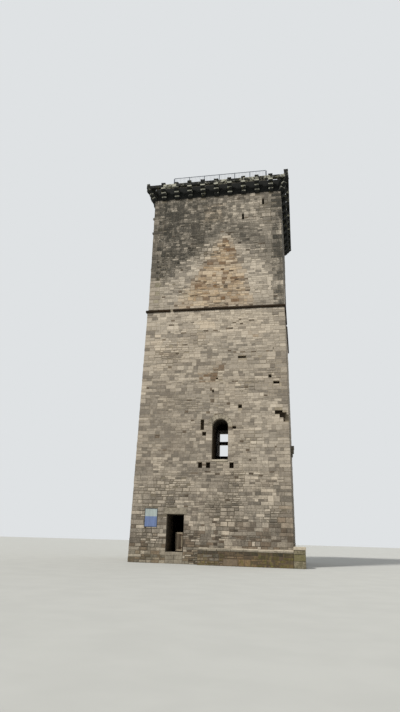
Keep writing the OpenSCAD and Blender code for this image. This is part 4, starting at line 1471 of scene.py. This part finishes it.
class KEEP_OT_plinth(KeepOperator, bpy.types.Operator):
    """Lay the mossy plinth, its cap and its corner block"""

    bl_idname = "keep.plinth"
    bl_label = "Plinth"

    SEED = 31
    LIFT, CHUNK, SET_BACK = 0.44, 0.75, 0.012
    WALL_Y = -GROUND_HALF + 0.05
    LEAST_SLAB, JOINT = 0.3, 0.004

    # How far the edge of the weathering's slope is behind its front and below its crest
    NOSE_BACK, NOSE_DROP = 0.1, 0.03

    # Courses of the corner block: bottom, and where two stones meet as a share of its depth
    COURSES = ((0.0, 0.45), (0.42, 0.60), (0.80, 0.40), (1.05, 0.50))
    SLAB_OVERHANG = 0.025
    BLOCK_BED, BLOCK_JOINT = 0.02, 0.003

    def build(self):
        rng = self.chance()
        set_finish(mossy_stone, "plinth")
        self.rubble(rng, *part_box("plinth"))
        self.cap(rng)
        self.corner_block(rng)

    def rubble(self, rng, low, high):
        """Rough stones in two lifts: darkened at the top as painted shadow under the cap, paler at the left
        and mossy at the right.
        """
        stones = []
        for bottom, top in ((0.0, self.LIFT), (self.LIFT, high.z)):
            for start, end in pairs(cuts(rng, low.x, high.x, 0.6, 1.4, self.CHUNK)):
                rows = rng.integers(1, 4)
                for z0, z1 in pairs(cuts(rng, bottom, top, 0.6, 1.4, (top - bottom) / rows)):
                    ends = cuts(rng, start, end, 0.5, 1.5, 0.12 + 1.3 * (z1 - z0))
                    stones += [(z0, z1, a, b, a, b) for a, b in pairs(ends)]
        count = len(stones)
        middle = np.array([(stone[2] + stone[3]) / 2 for stone in stones])
        tops = np.array([stone[1] for stone in stones])
        marks = {
            "tone": rng.uniform(0.1, 1.0, count),
            # Painted shadow under the cap, on the top course
            "damp": rng.uniform(0.5, 1.0, count) * smooth(tops, high.z - 0.30, high.z - 0.02),
            "moss": rng.uniform(-0.6, 0.5, count) + 0.9 * smooth(middle, 2.2, 4.4),
            "pale": rng.uniform(0.1, 1.0, count) * (1 - smooth(middle, 0.4, 2.4)),
        }
        face = -low.y - self.SET_BACK
        facing_stones(
            rng, stones, 0, sizes(), "plinth_facing", "plinth_stone", marks,
            reach=lambda z: np.full_like(z, face), recipe=mossy_stone,
            rough=0.9 - 0.5 * smooth(middle, 2.0, 4.0),
        )

    def cap(self, rng):
        """Slabs along the top of the plinth, each with a sloped weathering stone on it."""
        caps = Heap()
        x = PLINTH_LOW.x
        while x < PLINTH_HIGH.x:
            end = x + rng.uniform(0.55, 1.05)
            if PLINTH_HIGH.x - end < self.LEAST_SLAB:
                end = PLINTH_HIGH.x
            near = (x + self.JOINT, *PLINTH_LOW[1:])
            far = (end - self.JOINT, self.WALL_Y, PLINTH_HIGH.z)
            slab = worn_block(near, far, edge=0.018, wear=0.01, seed=x)
            caps.add(*slab, tone=rng.uniform(0.15, 0.55), grime=rng.uniform(0.15, 0.5))
            slope = self.weathering(rng, x, end)
            tone = rng.uniform(0.6, 0.95) - 0.35 * float(smooth(-x, -2.4, 0.0))
            caps.add(*slope, tone=tone, grime=rng.uniform(0.0, 0.15))
            x = end
        caps.piece("plinth_cap_slabs", dressed_stone, replaced=("plinth_cap",))

    def weathering(self, rng, x0, x1):
        """A stone that slopes from the wall down towards a slab's front."""
        foot, wall = PLINTH_HIGH.z - CAP_SINK, self.WALL_Y
        front = PLINTH_LOW.y + rng.uniform(0.10, 0.20)
        crest = PLINTH_HIGH.z + rng.uniform(0.05, 0.09)
        nose = (front + self.NOSE_BACK, crest - self.NOSE_DROP)
        corners = [(x0, front, foot), (x1, front, foot), (x1, wall, foot), (x0, wall, foot)]
        corners += [(x0, *nose), (x1, *nose), (x1, wall, crest), (x0, wall, crest)]
        return chamfered_blocks([corners], chamfer=0.02)

    def corner_block(self, rng):
        """Courses of two stones under a pale slab that stands out over them."""
        body, slab = Heap(), Heap()
        levels = [bottom for bottom, _ in self.COURSES] + [BLOCK_HIGH.z]
        for n, ((z0, z1), (_, share)) in enumerate(zip(pairs(levels), self.COURSES)):
            top = z1 == BLOCK_HIGH.z
            inset = 0.0 if top else self.SLAB_OVERHANG
            split = BLOCK_LOW.y + (BLOCK_HIGH.y - BLOCK_LOW.y) * share
            for y0, y1, front in ((BLOCK_LOW.y, split, inset), (split, BLOCK_HIGH.y, 0.0)):
                near = (BLOCK_LOW.x - self.BLOCK_BED, y0 + front + self.BLOCK_JOINT, z0)
                far = (BLOCK_HIGH.x - inset, y1 - self.BLOCK_JOINT, z1 - self.JOINT)
                stone = worn_block(near, far, edge=0.022, seed=n * 3.0 + y0)
                if top:
                    slab.add(*stone, tone=rng.uniform(0.8, 1.0))
                    continue
                marks = {"tone": rng.uniform(0.0, 0.5), "grime": rng.uniform(0.6, 1.0), "grime_most": 0.8}
                body.add(*stone, ochre=0.2, lime=0.6, algae=rng.uniform(0.15, 0.45), **marks)
        body.piece("corner_block_body", wall_stone, slot="dressed_stone")
        slab.piece("corner_block_slab", dressed_stone, replaced=("plinth_corner_block",))


def corbel(rng, x, reach, base, worn):
    """The three tiers of a corbel, as (points, faces, tone) in a side's own directions. Their noses have
    lost more or less of the crust, and are paler where light falls on them, as a painted highlight."""
    nose = reach / 3
    radius = min(nose, 0.9 * TIER_H)
    back = base - CORBEL_BED
    found = []
    for k in range(3):
        z = CORBEL_Z + k * TIER_H
        top = z + TIER_H - CORBEL_JOINT
        end = base + (k + 1) * nose - rng.uniform(0.002, 0.012)
        arc = [
            (end - radius + radius * math.sin(angle), z + radius - radius * math.cos(angle))
            for angle in np.linspace(0, math.pi / 2, 7)
        ]
        profile = [(back, z + CORBEL_JOINT / 2), *arc, (end, top), (back, top)]
        half = CORBEL_W / 2 - rng.uniform(0.0, 0.008)
        seed = rng.uniform(0, 50)
        points, faces = extruded(profile, x - half, x + half, edge=0.016, wear=0.014, step=0.09, seed=seed)
        # Pale where the crust is worn and as painted highlight on each lit nose; worn also holds the side's
        # painted shade
        nose_wear_and_highlight = smooth(points[:, 1], end - 0.10, end - 0.02) * smooth(points[:, 2], z + 0.12, z + 0.24)
        found.append((points, faces, nose_wear_and_highlight * worn * rng.choice(NOSE_SHARES)))
    return found


class KEEP_OT_corbels(KeepOperator, bpy.types.Operator):
    """Carve the three-tiered corbels on the four sides and the four corners"""

    bl_idname = "keep.corbels"
    bl_label = "Corbels"

    SEED = 41

    # How pale each side's corbel noses are, and the corners': worn crust and painted highlight, low on the
    # right side as painted shade
    NOSE_WEAR_AND_LIGHT = (1.0, 0.15, 0.6, 0.6)
    CORNER_NOSE_WEAR_AND_LIGHT = 0.5

    def build(self):
        rng = self.chance()
        # worn scales the noses' painted highlight, low on the shaded right side
        for side, worn in enumerate(self.NOSE_WEAR_AND_LIGHT):
            heap = Heap()
            for x in CORBELS:
                for points, faces, tone in corbel(rng, x, NOSE_HALF - UPPER_HALF, UPPER_HALF, worn):
                    heap.add(turned(points, side), faces, tone=tone)
            name = f"{SIDES[side]}_corbel"
            heap.piece(f"{name}_stones", crusted_stone, replaced=(f"{name}s",))
        self.corners(rng)

    def corners(self, rng):
        """Corbels on the corners, turned by 45 degrees."""
        corners = Heap()
        base, slant = UPPER_HALF * math.sqrt(2), math.sqrt(0.5)
        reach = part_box("corner_corbels")[1].x * math.sqrt(2) - CORBEL_W / 2 - base
        for side in range(4):
            for points, faces, tone in corbel(rng, 0.0, reach, base, self.CORNER_NOSE_WEAR_AND_LIGHT):
                along, out, up = points.T
                points = np.stack([(along + out) * slant, (out - along) * slant, up], 1)
                corners.add(turned(points, side), faces, tone=tone)
        corners.piece("corner_corbel_stones", crusted_stone, replaced=("corner_corbels",))


class KEEP_OT_parapet(KeepOperator, bpy.types.Operator):
    """Lay the lintels on the corbels and what is left of the parapet"""

    bl_idname = "keep.parapet"
    bl_label = "Parapet"

    SEED = 51
    END_LINTEL, JOINT = 0.62, 0.006

    # How much narrower a stub may be at each side, and where the corner slabs start over the head
    STUB_PLAY, SLAB_RISE = 0.03, 0.05

    def build(self):
        rng = self.chance()
        low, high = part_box("front_lintels")
        inner_y = high.y - low.y - NOSE_HALF
        for side in range(4):
            self.lintels(rng, side, inner_y)
        self.stubs(rng, inner_y)
        self.corner_slabs(inner_y)

    def lintels(self, rng, side, inner_y):
        """Lintels from corbel to corbel, which stay black near the corners."""
        heap = Heap()
        end = NOSE_HALF if side in (0, 2) else -inner_y
        for a, b in pairs([-end, self.END_LINTEL - end, *CORBELS, end - self.END_LINTEL, end]):
            near, far = (a + self.JOINT, -NOSE_HALF, HEAD_Z), (b - self.JOINT, inner_y, WALK_Z)
            lintel = worn_block(near, far, edge=0.014, wear=0.006, step=0.18, seed=a)
            inner = abs(a + b) < 2 * CORBELS[-1] or side == 0 and a > 0
            heap.add_turned(lintel, side, tone=rng.uniform(0.15, 0.85) if inner else 0.1)
        name = f"{SIDES[side]}_lintel"
        heap.piece(f"{name}_stones", crusted_stone, replaced=(f"{name}s",))

    def stubs(self, rng, inner_y):
        """Stumps of the parapet over the corbels, and a taller one at the front right corner."""
        stubs = Heap()
        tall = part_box("parapet_stubs")[1].z - WALK_Z
        places = [(x - STUB_W / 2, x + STUB_W / 2) for x in CORBELS] + [(NOSE_HALF - STUB_W, NOSE_HALF)]
        for side in range(4):
            for a, b in places:
                height = STUB_H * rng.uniform(0.72, 1.0)
                if side == 0 and b == NOSE_HALF:
                    height = tall
                near = (a + rng.uniform(0, self.STUB_PLAY), -NOSE_HALF, WALK_Z)
                far = (b - rng.uniform(0, self.STUB_PLAY), inner_y, WALK_Z + height)
                stub = worn_block(near, far, edge=0.03, wear=0.03, step=0.11, seed=a)
                stubs.add_turned(stub, side, tone=rng.uniform(0.0, 0.35))
        stubs.piece("parapet_stub_stones", crusted_stone, replaced=("parapet_stubs",))

    def corner_slabs(self, inner_y):
        """A slab on each corner of the head, between the lintels."""
        slabs = Heap()
        near, far = (UPPER_HALF, inner_y, HEAD_Z + self.SLAB_RISE), (-inner_y, -UPPER_HALF, WALK_Z)
        for side in range(4):
            slabs.add_turned(worn_block(near, far, edge=0.014, wear=0.006, seed=side), side, tone=0.1)
        slabs.piece("corner_slabs", crusted_stone)


def paving(rng, low, high, top, heap):
    """Slabs over the plan of a box, in rows, with their faces just above a height."""
    size = sizes()
    rows = max(1, int(round((high.y - low.y) / size.slab)))
    for y0, y1 in pairs(np.linspace(low.y, high.y, rows + 1)):
        for x0, x1 in pairs(cuts(rng, low.x, high.x, 0.75, 1.3, size.slab)):
            near = (x0 + SLAB_JOINT, y0 + SLAB_JOINT, top - SLAB_DEPTH)
            far = (x1 - SLAB_JOINT, y1 - SLAB_JOINT, top + rng.uniform(0.004, 0.010))
            heap.add(*chamfered_box(near, far, SLAB_EDGE), tone=rng.uniform(0.2, 0.8))


class KEEP_OT_terrace(KeepOperator, bpy.types.Operator):
    """Pave the wall walk and the raised platform, and face the platform's edge"""

    bl_idname = "keep.terrace"
    bl_label = "Terrace"

    SEED = 61
    KERB_W, KERB_H, KERB_JOINT = 0.24, 0.08, 0.003
    WALK_SLABS = 15
    EDGE_ROWS, EDGE_STONES = 3, 18

    # How far the edge's stones stay above the walk, below the platform's top and behind its edge
    EDGE_FOOT, EDGE_HEAD, EDGE_BACK = 0.01, 0.02, 0.012

    # The platform's edge is as weathered as the walls at this height
    WEATHER_Z = 26.5

    def build(self):
        rng = self.chance()
        set_finish(floor_stone, "terrace_slab", "terrace_platform")
        low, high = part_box("terrace_platform")
        slabs = Heap()
        paving(rng, low, high, high.z, slabs)
        slabs.piece("platform_paving", floor_stone)
        self.walk(rng, low, high)
        for side in range(4):
            self.platform_edge(rng, side, low, high)

    def walk(self, rng, low, high):
        """A kerb along the edge of the wall walk, and slabs from it to the platform."""
        walk = Heap()
        edge = UPPER_HALF - 0.005
        kerb_y = self.KERB_W - edge
        for side in range(4):
            for a, b in pairs(np.linspace(-edge, high.x, self.WALK_SLABS + 1)):
                rise = rng.uniform(0.003, 0.009)
                for y0, y1, top in ((-edge, kerb_y, self.KERB_H), (kerb_y, low.y, rise)):
                    near = (a + SLAB_JOINT, y0 + self.KERB_JOINT, WALK_Z - SLAB_DEPTH)
                    far = (b - SLAB_JOINT, y1 - self.KERB_JOINT, WALK_Z + top)
                    walk.add_turned(chamfered_box(near, far, SLAB_EDGE), side, tone=rng.uniform(0.1, 0.7))
        walk.piece("wall_walk_paving", floor_stone)

    def platform_edge(self, rng, side, low, high):
        """Rows of facing stones between the wall walk and the platform's paving."""
        stones = []
        foot, head = WALK_Z + self.EDGE_FOOT, high.z - self.EDGE_HEAD
        for z0, z1 in pairs(np.linspace(foot, head, self.EDGE_ROWS + 1)):
            stops = random_stops(low.x, high.x, rng.uniform(0.7, 1.4, self.EDGE_STONES))
            stones += [(z0, z1, a, b, a, b) for a, b in pairs(stops)]
        middle = np.array([(stone[2] + stone[3]) / 2 for stone in stones])
        marks = stone_marks(rng, middle, np.full(len(stones), self.WEATHER_Z), side)
        facing_stones(
            rng, stones, side, sizes(), f"{SIDES[side]}_platform_facing", "floor_stone", marks,
            reach=lambda z: np.full_like(z, high.x - self.EDGE_BACK),
        )


class KEEP_OT_guard_rail(KeepOperator, bpy.types.Operator):
    """Paint the guard rail and set its balusters"""

    bl_idname = "keep.guard_rail"
    bl_label = "Guard Rail"

    # Heights of the two rails as shares of the whole, half a rail's width, how far the first
    # baluster is from the corner, and the corners of its outline
    BOTTOM_RAIL, TOP_RAIL = 0.12, 0.96
    RAIL_HALF = 0.025
    FROM_CORNER = 0.1
    CORNERS = 8

    # How far above those heights the balusters start and end
    FOOT_RISE, HEAD_RISE = 0.02, 0.01

    def build(self):
        size = sizes()
        set_finish(rail_paint, "guard_rail")
        low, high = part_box("guard_rail")
        rise = high.z - low.z
        z0 = low.z + self.BOTTOM_RAIL * rise + self.FOOT_RISE
        z1 = low.z + self.TOP_RAIL * rise + self.HEAD_RISE
        line = high.x - self.RAIL_HALF
        end = line - self.FROM_CORNER
        angles = np.linspace(0, 2 * math.pi, self.CORNERS, endpoint=False)
        ring = np.stack([np.cos(angles), np.sin(angles)], 1) * size.baluster_d / 2
        bottom = tuple(range(self.CORNERS))
        faces = ring_faces(0, self.CORNERS) + [bottom[::-1], tuple(i + self.CORNERS for i in bottom)]
        bars = Heap()
        for side in range(4):
            for x in np.linspace(-end, end, int(2 * end / size.baluster_gap)):
                points = [(x + along, line + out, z) for z in (z0, z1) for along, out in ring]
                bars.add_convex((points, faces), side, tone=0.5)
        bars.piece("rail_balusters", rail_paint, slot="rail_steel")


class KEEP_OT_floors(KeepOperator, bpy.types.Operator):
    """Lay the first floor's boards and the ground floor's paving"""

    bl_idname = "keep.floors"
    bl_label = "Floors"

    SEED = 71
    GROUND_SINK = 0.012

    # Half the joint between two boards, their worn edge, and how much lower one may lie
    JOINT, EDGE, PLAY = 0.002, 0.004, 0.003

    def build(self):
        rng = self.chance()
        set_finish(oak, "floor_beams")
        set_finish(floor_stone, "ground_floor")
        low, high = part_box("floor_boards")
        boards = Heap()
        count = int(round((high.x - low.x) / sizes().board))
        for x0, x1 in pairs(np.linspace(low.x, high.x, count + 1)):
            top = high.z - rng.uniform(0, self.PLAY)
            near, far = (x0 + self.JOINT, low.y, low.z), (x1 - self.JOINT, high.y, top)
            board = chamfered_box(near, far, self.EDGE)
            boards.add(*board, tone=rng.uniform(0.3, 0.9))
        boards.piece("first_floor_boards", oak, replaced=("floor_boards",))
        ground = Heap()
        paving(rng, low, high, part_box("ground_floor")[1].z - self.GROUND_SINK, ground)
        ground.piece("ground_floor_paving", floor_stone)


class KEEP_OT_gate(KeepOperator, bpy.types.Operator):
    """Board the gate's leaf and finish its ironwork"""

    bl_idname = "keep.gate"
    bl_label = "Gate"

    SEED = 81
    # From the hinge to the leaf, the leaf's width and thickness, its frame's and its boards' ones
    HEEL, WIDTH, THICK, FRAME, BOARD_T = 0.04, 1.04, 0.045, 0.095, 0.022
    BOARDS, JOINT = 6, 0.001
    WEAR = {"wear": 0.0015, "step": 0.12}

    def build(self):
        rng = self.chance()
        set_finish(iron, "gate_straps", "gate_pintles")
        low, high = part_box("gate_leaf")
        x0, x1, half = -self.HEEL - self.WIDTH, -self.HEEL, self.THICK / 2
        z0, z1 = low.z, high.z
        left, right = x0 + self.FRAME, x1 - self.FRAME
        bottom, top = z0 + self.FRAME, z1 - self.FRAME
        wood = Heap()
        for n, (near, far) in enumerate((
            ((x0, -half, z0), (left, half, z1)),
            ((right, -half, z0), (x1, half, z1)),
            ((left, -half, z0), (right, half, bottom)),
            ((left, -half, top), (right, half, z1)),
        )):
            bar = worn_block(near, far, edge=0.005, seed=n * 5.0, **self.WEAR)
            # Painted light: the frame's oak is paler, standing in for the sun on it
            wood.add(*bar, tone=rng.uniform(1.0, 1.25))
        for n, (a, b) in enumerate(pairs(np.linspace(left, right, self.BOARDS + 1))):
            near, far = (a + self.JOINT, -half, bottom), (b - self.JOINT, self.BOARD_T - half, top)
            board = worn_block(near, far, edge=0.004, seed=n * 7.0, **self.WEAR)
            # Painted shade: the boards are darker, standing in for the shade in the doorway
            wood.add(*board, tone=rng.uniform(0.1, 0.45))
        turn = self.turn()
        wood.points = [np.array([turn @ Vector(p) for p in points]) for points in wood.points]
        wood.piece("gate_boards", oak_upright, body="gate", slot="oak", replaced=("gate_leaf",))

    def turn(self):
        """From the closed leaf at its hinge to where it stands at rest."""
        hinge = frame["joints"][0]
        x, y, _ = hinge["pos_m"]
        swing = math.radians(max(hinge["range_deg"]))
        return Matrix.Translation((x, y, 0)) @ Matrix.Rotation(-swing, 4, "Z")


class KEEP_OT_fittings(KeepOperator, bpy.types.Operator):
    """Make the bare notice board, the stone box on the right wall and the projecting stones"""

    bl_idname = "keep.fittings"
    bl_label = "Fittings"

    SEED = 91
    RIM_W, RIM_PROUD, RIM_DEPTH = 0.022, 0.006, 0.02

    # How far each course of the side box is set back, from the bottom, and its ends and beds
    BOX_INSETS = (0.10, 0.02, 0.0)
    BOX_END, BOX_BED = 0.004, 0.003

    # Stones that project from the left wall: height, place behind the front face, and reach
    PROJECTING = (
        (21.40, 0.35, 0.16),
        (23.90, 0.72, 0.19),
        (24.65, 0.30, 0.22),
        (25.20, 1.05, 0.25),
        (26.10, 0.48, 0.28),
    )
    PROJECTING_W, PROJECTING_H, PROJECTING_BED = 0.26, 0.17, 0.1

    def build(self):
        set_finish(panel_paint, "notice_board")
        self.notice_rim(*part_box("notice_board"))
        self.side_box(*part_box("side_box"))
        self.projecting_stones()

    def notice_rim(self, low, high):
        """Four bars round the notice board, which lean with the wall."""
        rim = Heap()
        x0, x1 = low.x + self.RIM_W, high.x - self.RIM_W
        for left, right, bottom, top in (
            (low.x, x0, low.z, high.z),
            (x1, high.x, low.z, high.z),
            (x0, x1, low.z, low.z + self.RIM_W),
            (x0, x1, high.z - self.RIM_W, high.z),
        ):
            corners = []
            for z in (bottom, top):
                front = low.y - self.RIM_PROUD + LEAN * (z - low.z)
                back = front + self.RIM_DEPTH
                corners += [(left, front, z), (right, front, z), (right, back, z), (left, back, z)]
            rim.add(*chamfered_blocks([corners], chamfer=0.003), tone=0.5)
        rim.piece("notice_rim", rail_paint, slot="board_panel")

    def side_box(self, low, high):
        """Three courses of the stone box."""
        rng = self.chance()
        box = Heap()
        levels = np.linspace(low.z, high.z, len(self.BOX_INSETS) + 1)
        for n, ((z0, z1), inset) in enumerate(zip(pairs(levels), self.BOX_INSETS)):
            near = (low.x, low.y + self.BOX_END, z0 + self.BOX_BED)
            far = (high.x - inset, high.y - self.BOX_END, z1 - self.BOX_BED)
            stone = worn_block(near, far, edge=0.03, wear=0.02, step=0.12, seed=n * 4.0)
            box.add(*stone, tone=rng.uniform(0.2, 0.5), grime=0.7)
        box.piece("side_box_stones", dressed_stone, replaced=("side_box",))

    def projecting_stones(self):
        """Single stones that stick out of the left wall near the top."""
        stones = Heap()
        for z, back, reach in self.PROJECTING:
            y = back - UPPER_HALF
            near = (-UPPER_HALF - reach, y, z)
            far = (self.PROJECTING_BED - UPPER_HALF, y + self.PROJECTING_W, z + self.PROJECTING_H)
            stone = worn_block(near, far, edge=0.03, wear=0.03, step=0.1, seed=z)
            stones.add(*stone, tone=0.2, grime=0.8, grime_most=0.9, lime=0.2)
        stones.piece("projecting_stones", wall_stone, slot="upper_stone")


class KEEP_OT_stage(KeepOperator, bpy.types.Operator):
    """Set the floor, the backdrop, the lights and the camera"""

    bl_idname = "keep.stage"
    bl_label = "Stage"

    # Where the photograph was taken from, solved from the keep's edges
    CAMERA = (5.78, -40.79, 1.53)
    PITCH, YAW, ROLL = math.radians(18.93), math.radians(-10.73), math.radians(1.67)
    FOCAL_PIXELS, FRAME_H = 533.5, 712
    SENSOR_H = 24.0
    FAR = 1000.0

    FLOOR_RADIUS, FLOOR_CORNERS = 260.0, 96
    SKY, SKY_STRENGTH = (0.94, 0.97, 1.0, 1.0), 0.46

    # Name, direction, strength, spread in degrees and colour
    LAMPS = (
        ("key_sun", (0.42, 0.66, -0.90), 2.9, 7.0, (1.0, 0.98, 0.94)),
        ("rear_sun", (-0.30, -0.80, -0.60), 0.55, 60.0, (0.95, 0.97, 1.0)),
    )

    def build(self):
        scene = bpy.context.scene
        scene.view_settings.view_transform = "Standard"
        self.floor(scene)
        self.world(scene)
        self.lamps(scene)
        self.camera(scene)

    def floor(self, scene):
        """A round floor that reaches to the horizon."""
        corners, radius = self.FLOOR_CORNERS, self.FLOOR_RADIUS
        angles = np.linspace(0, 2 * math.pi, corners, endpoint=False)
        points = [(0.0, 0.0, 0.0)] + [(radius * math.cos(t), radius * math.sin(t), 0.0) for t in angles]
        mesh = bpy.data.meshes.new("studio_floor")
        mesh.from_pydata(points, [], [(0, 1 + i, 1 + (i + 1) % corners) for i in range(corners)])
        make = Finish("studio_floor", roughness=0.95, specular=0.1)
        grain = make.band(make.noise(0.8, 3.0, 0.5), 0.3, 0.7, 0.97, 1.02)
        mesh.materials.append(make.done(make.shade(colours().floor, grain)))
        floor = bpy.data.objects.new("studio_floor", mesh)
        scene.collection.objects.link(floor)

    def world(self, scene):
        """A soft sky that lights the keep, and a plain backdrop where the camera sees past it."""
        world = bpy.data.worlds.new("studio_world")
        scene.world = world
        world.use_nodes = True
        tree = world.node_tree
        tree.nodes.clear()
        out = tree.nodes.new("ShaderNodeOutputWorld")
        mix = tree.nodes.new("ShaderNodeMixShader")
        backdrop = (*colours().backdrop, 1.0)
        for socket, colour, strength in ((1, self.SKY, self.SKY_STRENGTH), (2, backdrop, 1.0)):
            light = tree.nodes.new("ShaderNodeBackground")
            light.inputs["Color"].default_value = colour
            light.inputs["Strength"].default_value = strength
            tree.links.new(light.outputs[0], mix.inputs[socket])
        path = tree.nodes.new("ShaderNodeLightPath")
        seen = path.outputs["Is Camera Ray"]
        for name in ("Is Glossy Ray", "Is Transmission Ray"):
            both = tree.nodes.new("ShaderNodeMath")
            both.operation = "MAXIMUM"
            tree.links.new(seen, both.inputs[0])
            tree.links.new(path.outputs[name], both.inputs[1])
            seen = both.outputs[0]
        tree.links.new(seen, mix.inputs[0])
        tree.links.new(mix.outputs[0], out.inputs[0])

    def lamps(self, scene):
        """The main light and a weak, wide one from behind the camera's far side."""
        for name, direction, strength, spread, tint in self.LAMPS:
            lamp = bpy.data.lights.new(name, "SUN")
            lamp.energy = strength
            lamp.angle = math.radians(spread)
            lamp.color = tint
            holder = bpy.data.objects.new(name, lamp)
            holder.rotation_euler = Vector(direction).to_track_quat("-Z", "Y").to_euler()
            scene.collection.objects.link(holder)

    def camera(self, scene):
        """The photograph's camera."""
        data = bpy.data.cameras.new("photo_camera")
        data.sensor_fit = "VERTICAL"
        data.sensor_height = self.SENSOR_H
        data.lens = self.FOCAL_PIXELS / self.FRAME_H * self.SENSOR_H
        data.clip_end = self.FAR
        level = math.cos(self.PITCH)
        ahead = Vector((math.sin(self.YAW) * level, math.cos(self.YAW) * level, math.sin(self.PITCH)))
        right = Vector((math.cos(self.YAW), -math.sin(self.YAW), 0))
        up = right.cross(ahead)
        rolled_right = right * math.cos(self.ROLL) + up * math.sin(self.ROLL)
        rolled_up = up * math.cos(self.ROLL) - right * math.sin(self.ROLL)
        turn = Matrix((rolled_right, rolled_up, -ahead)).transposed().to_4x4()
        camera = bpy.data.objects.new("photo_camera", data)
        camera.matrix_world = Matrix.Translation(self.CAMERA) @ turn
        scene.collection.objects.link(camera)
        scene.camera = camera


OPERATORS = (
    KEEP_OT_wall_cores,
    KEEP_OT_lower_stage,
    KEEP_OT_upper_stage,
    KEEP_OT_arched_opening,
    KEEP_OT_doorway,
    KEEP_OT_string_course,
    KEEP_OT_plinth,
    KEEP_OT_corbels,
    KEEP_OT_parapet,
    KEEP_OT_terrace,
    KEEP_OT_guard_rail,
    KEEP_OT_floors,
    KEEP_OT_gate,
    KEEP_OT_fittings,
    KEEP_OT_stage,
)


class KEEP_PT_panel(bpy.types.Panel):
    """Lists the keep's operators in the order in which they run"""

    bl_label = "Castle Keep"
    bl_idname = "KEEP_PT_panel"
    bl_space_type = "VIEW_3D"
    bl_region_type = "UI"
    bl_category = "Keep"

    def draw(self, context):
        for operator in OPERATORS:
            self.layout.operator(operator.bl_idname)


CLASSES = (KeepSizes, KeepColours) + OPERATORS + (KEEP_PT_panel,)


def register():
    """Registers the classes and hangs the settings on the scene."""
    for cls in CLASSES:
        bpy.utils.register_class(cls)
    bpy.types.Scene.keep_sizes = PointerProperty(type=KeepSizes)
    bpy.types.Scene.keep_colours = PointerProperty(type=KeepColours)


def unregister():
    """Takes the settings off the scene and unregisters the classes."""
    del bpy.types.Scene.keep_colours
    del bpy.types.Scene.keep_sizes
    for cls in reversed(CLASSES):
        bpy.utils.unregister_class(cls)


def main():
    """Runs every operator in order."""
    register()
    for operator in OPERATORS:
        group, name = operator.bl_idname.split(".")
        getattr(getattr(bpy.ops, group), name)()


if __name__ == "__main__":
    main()
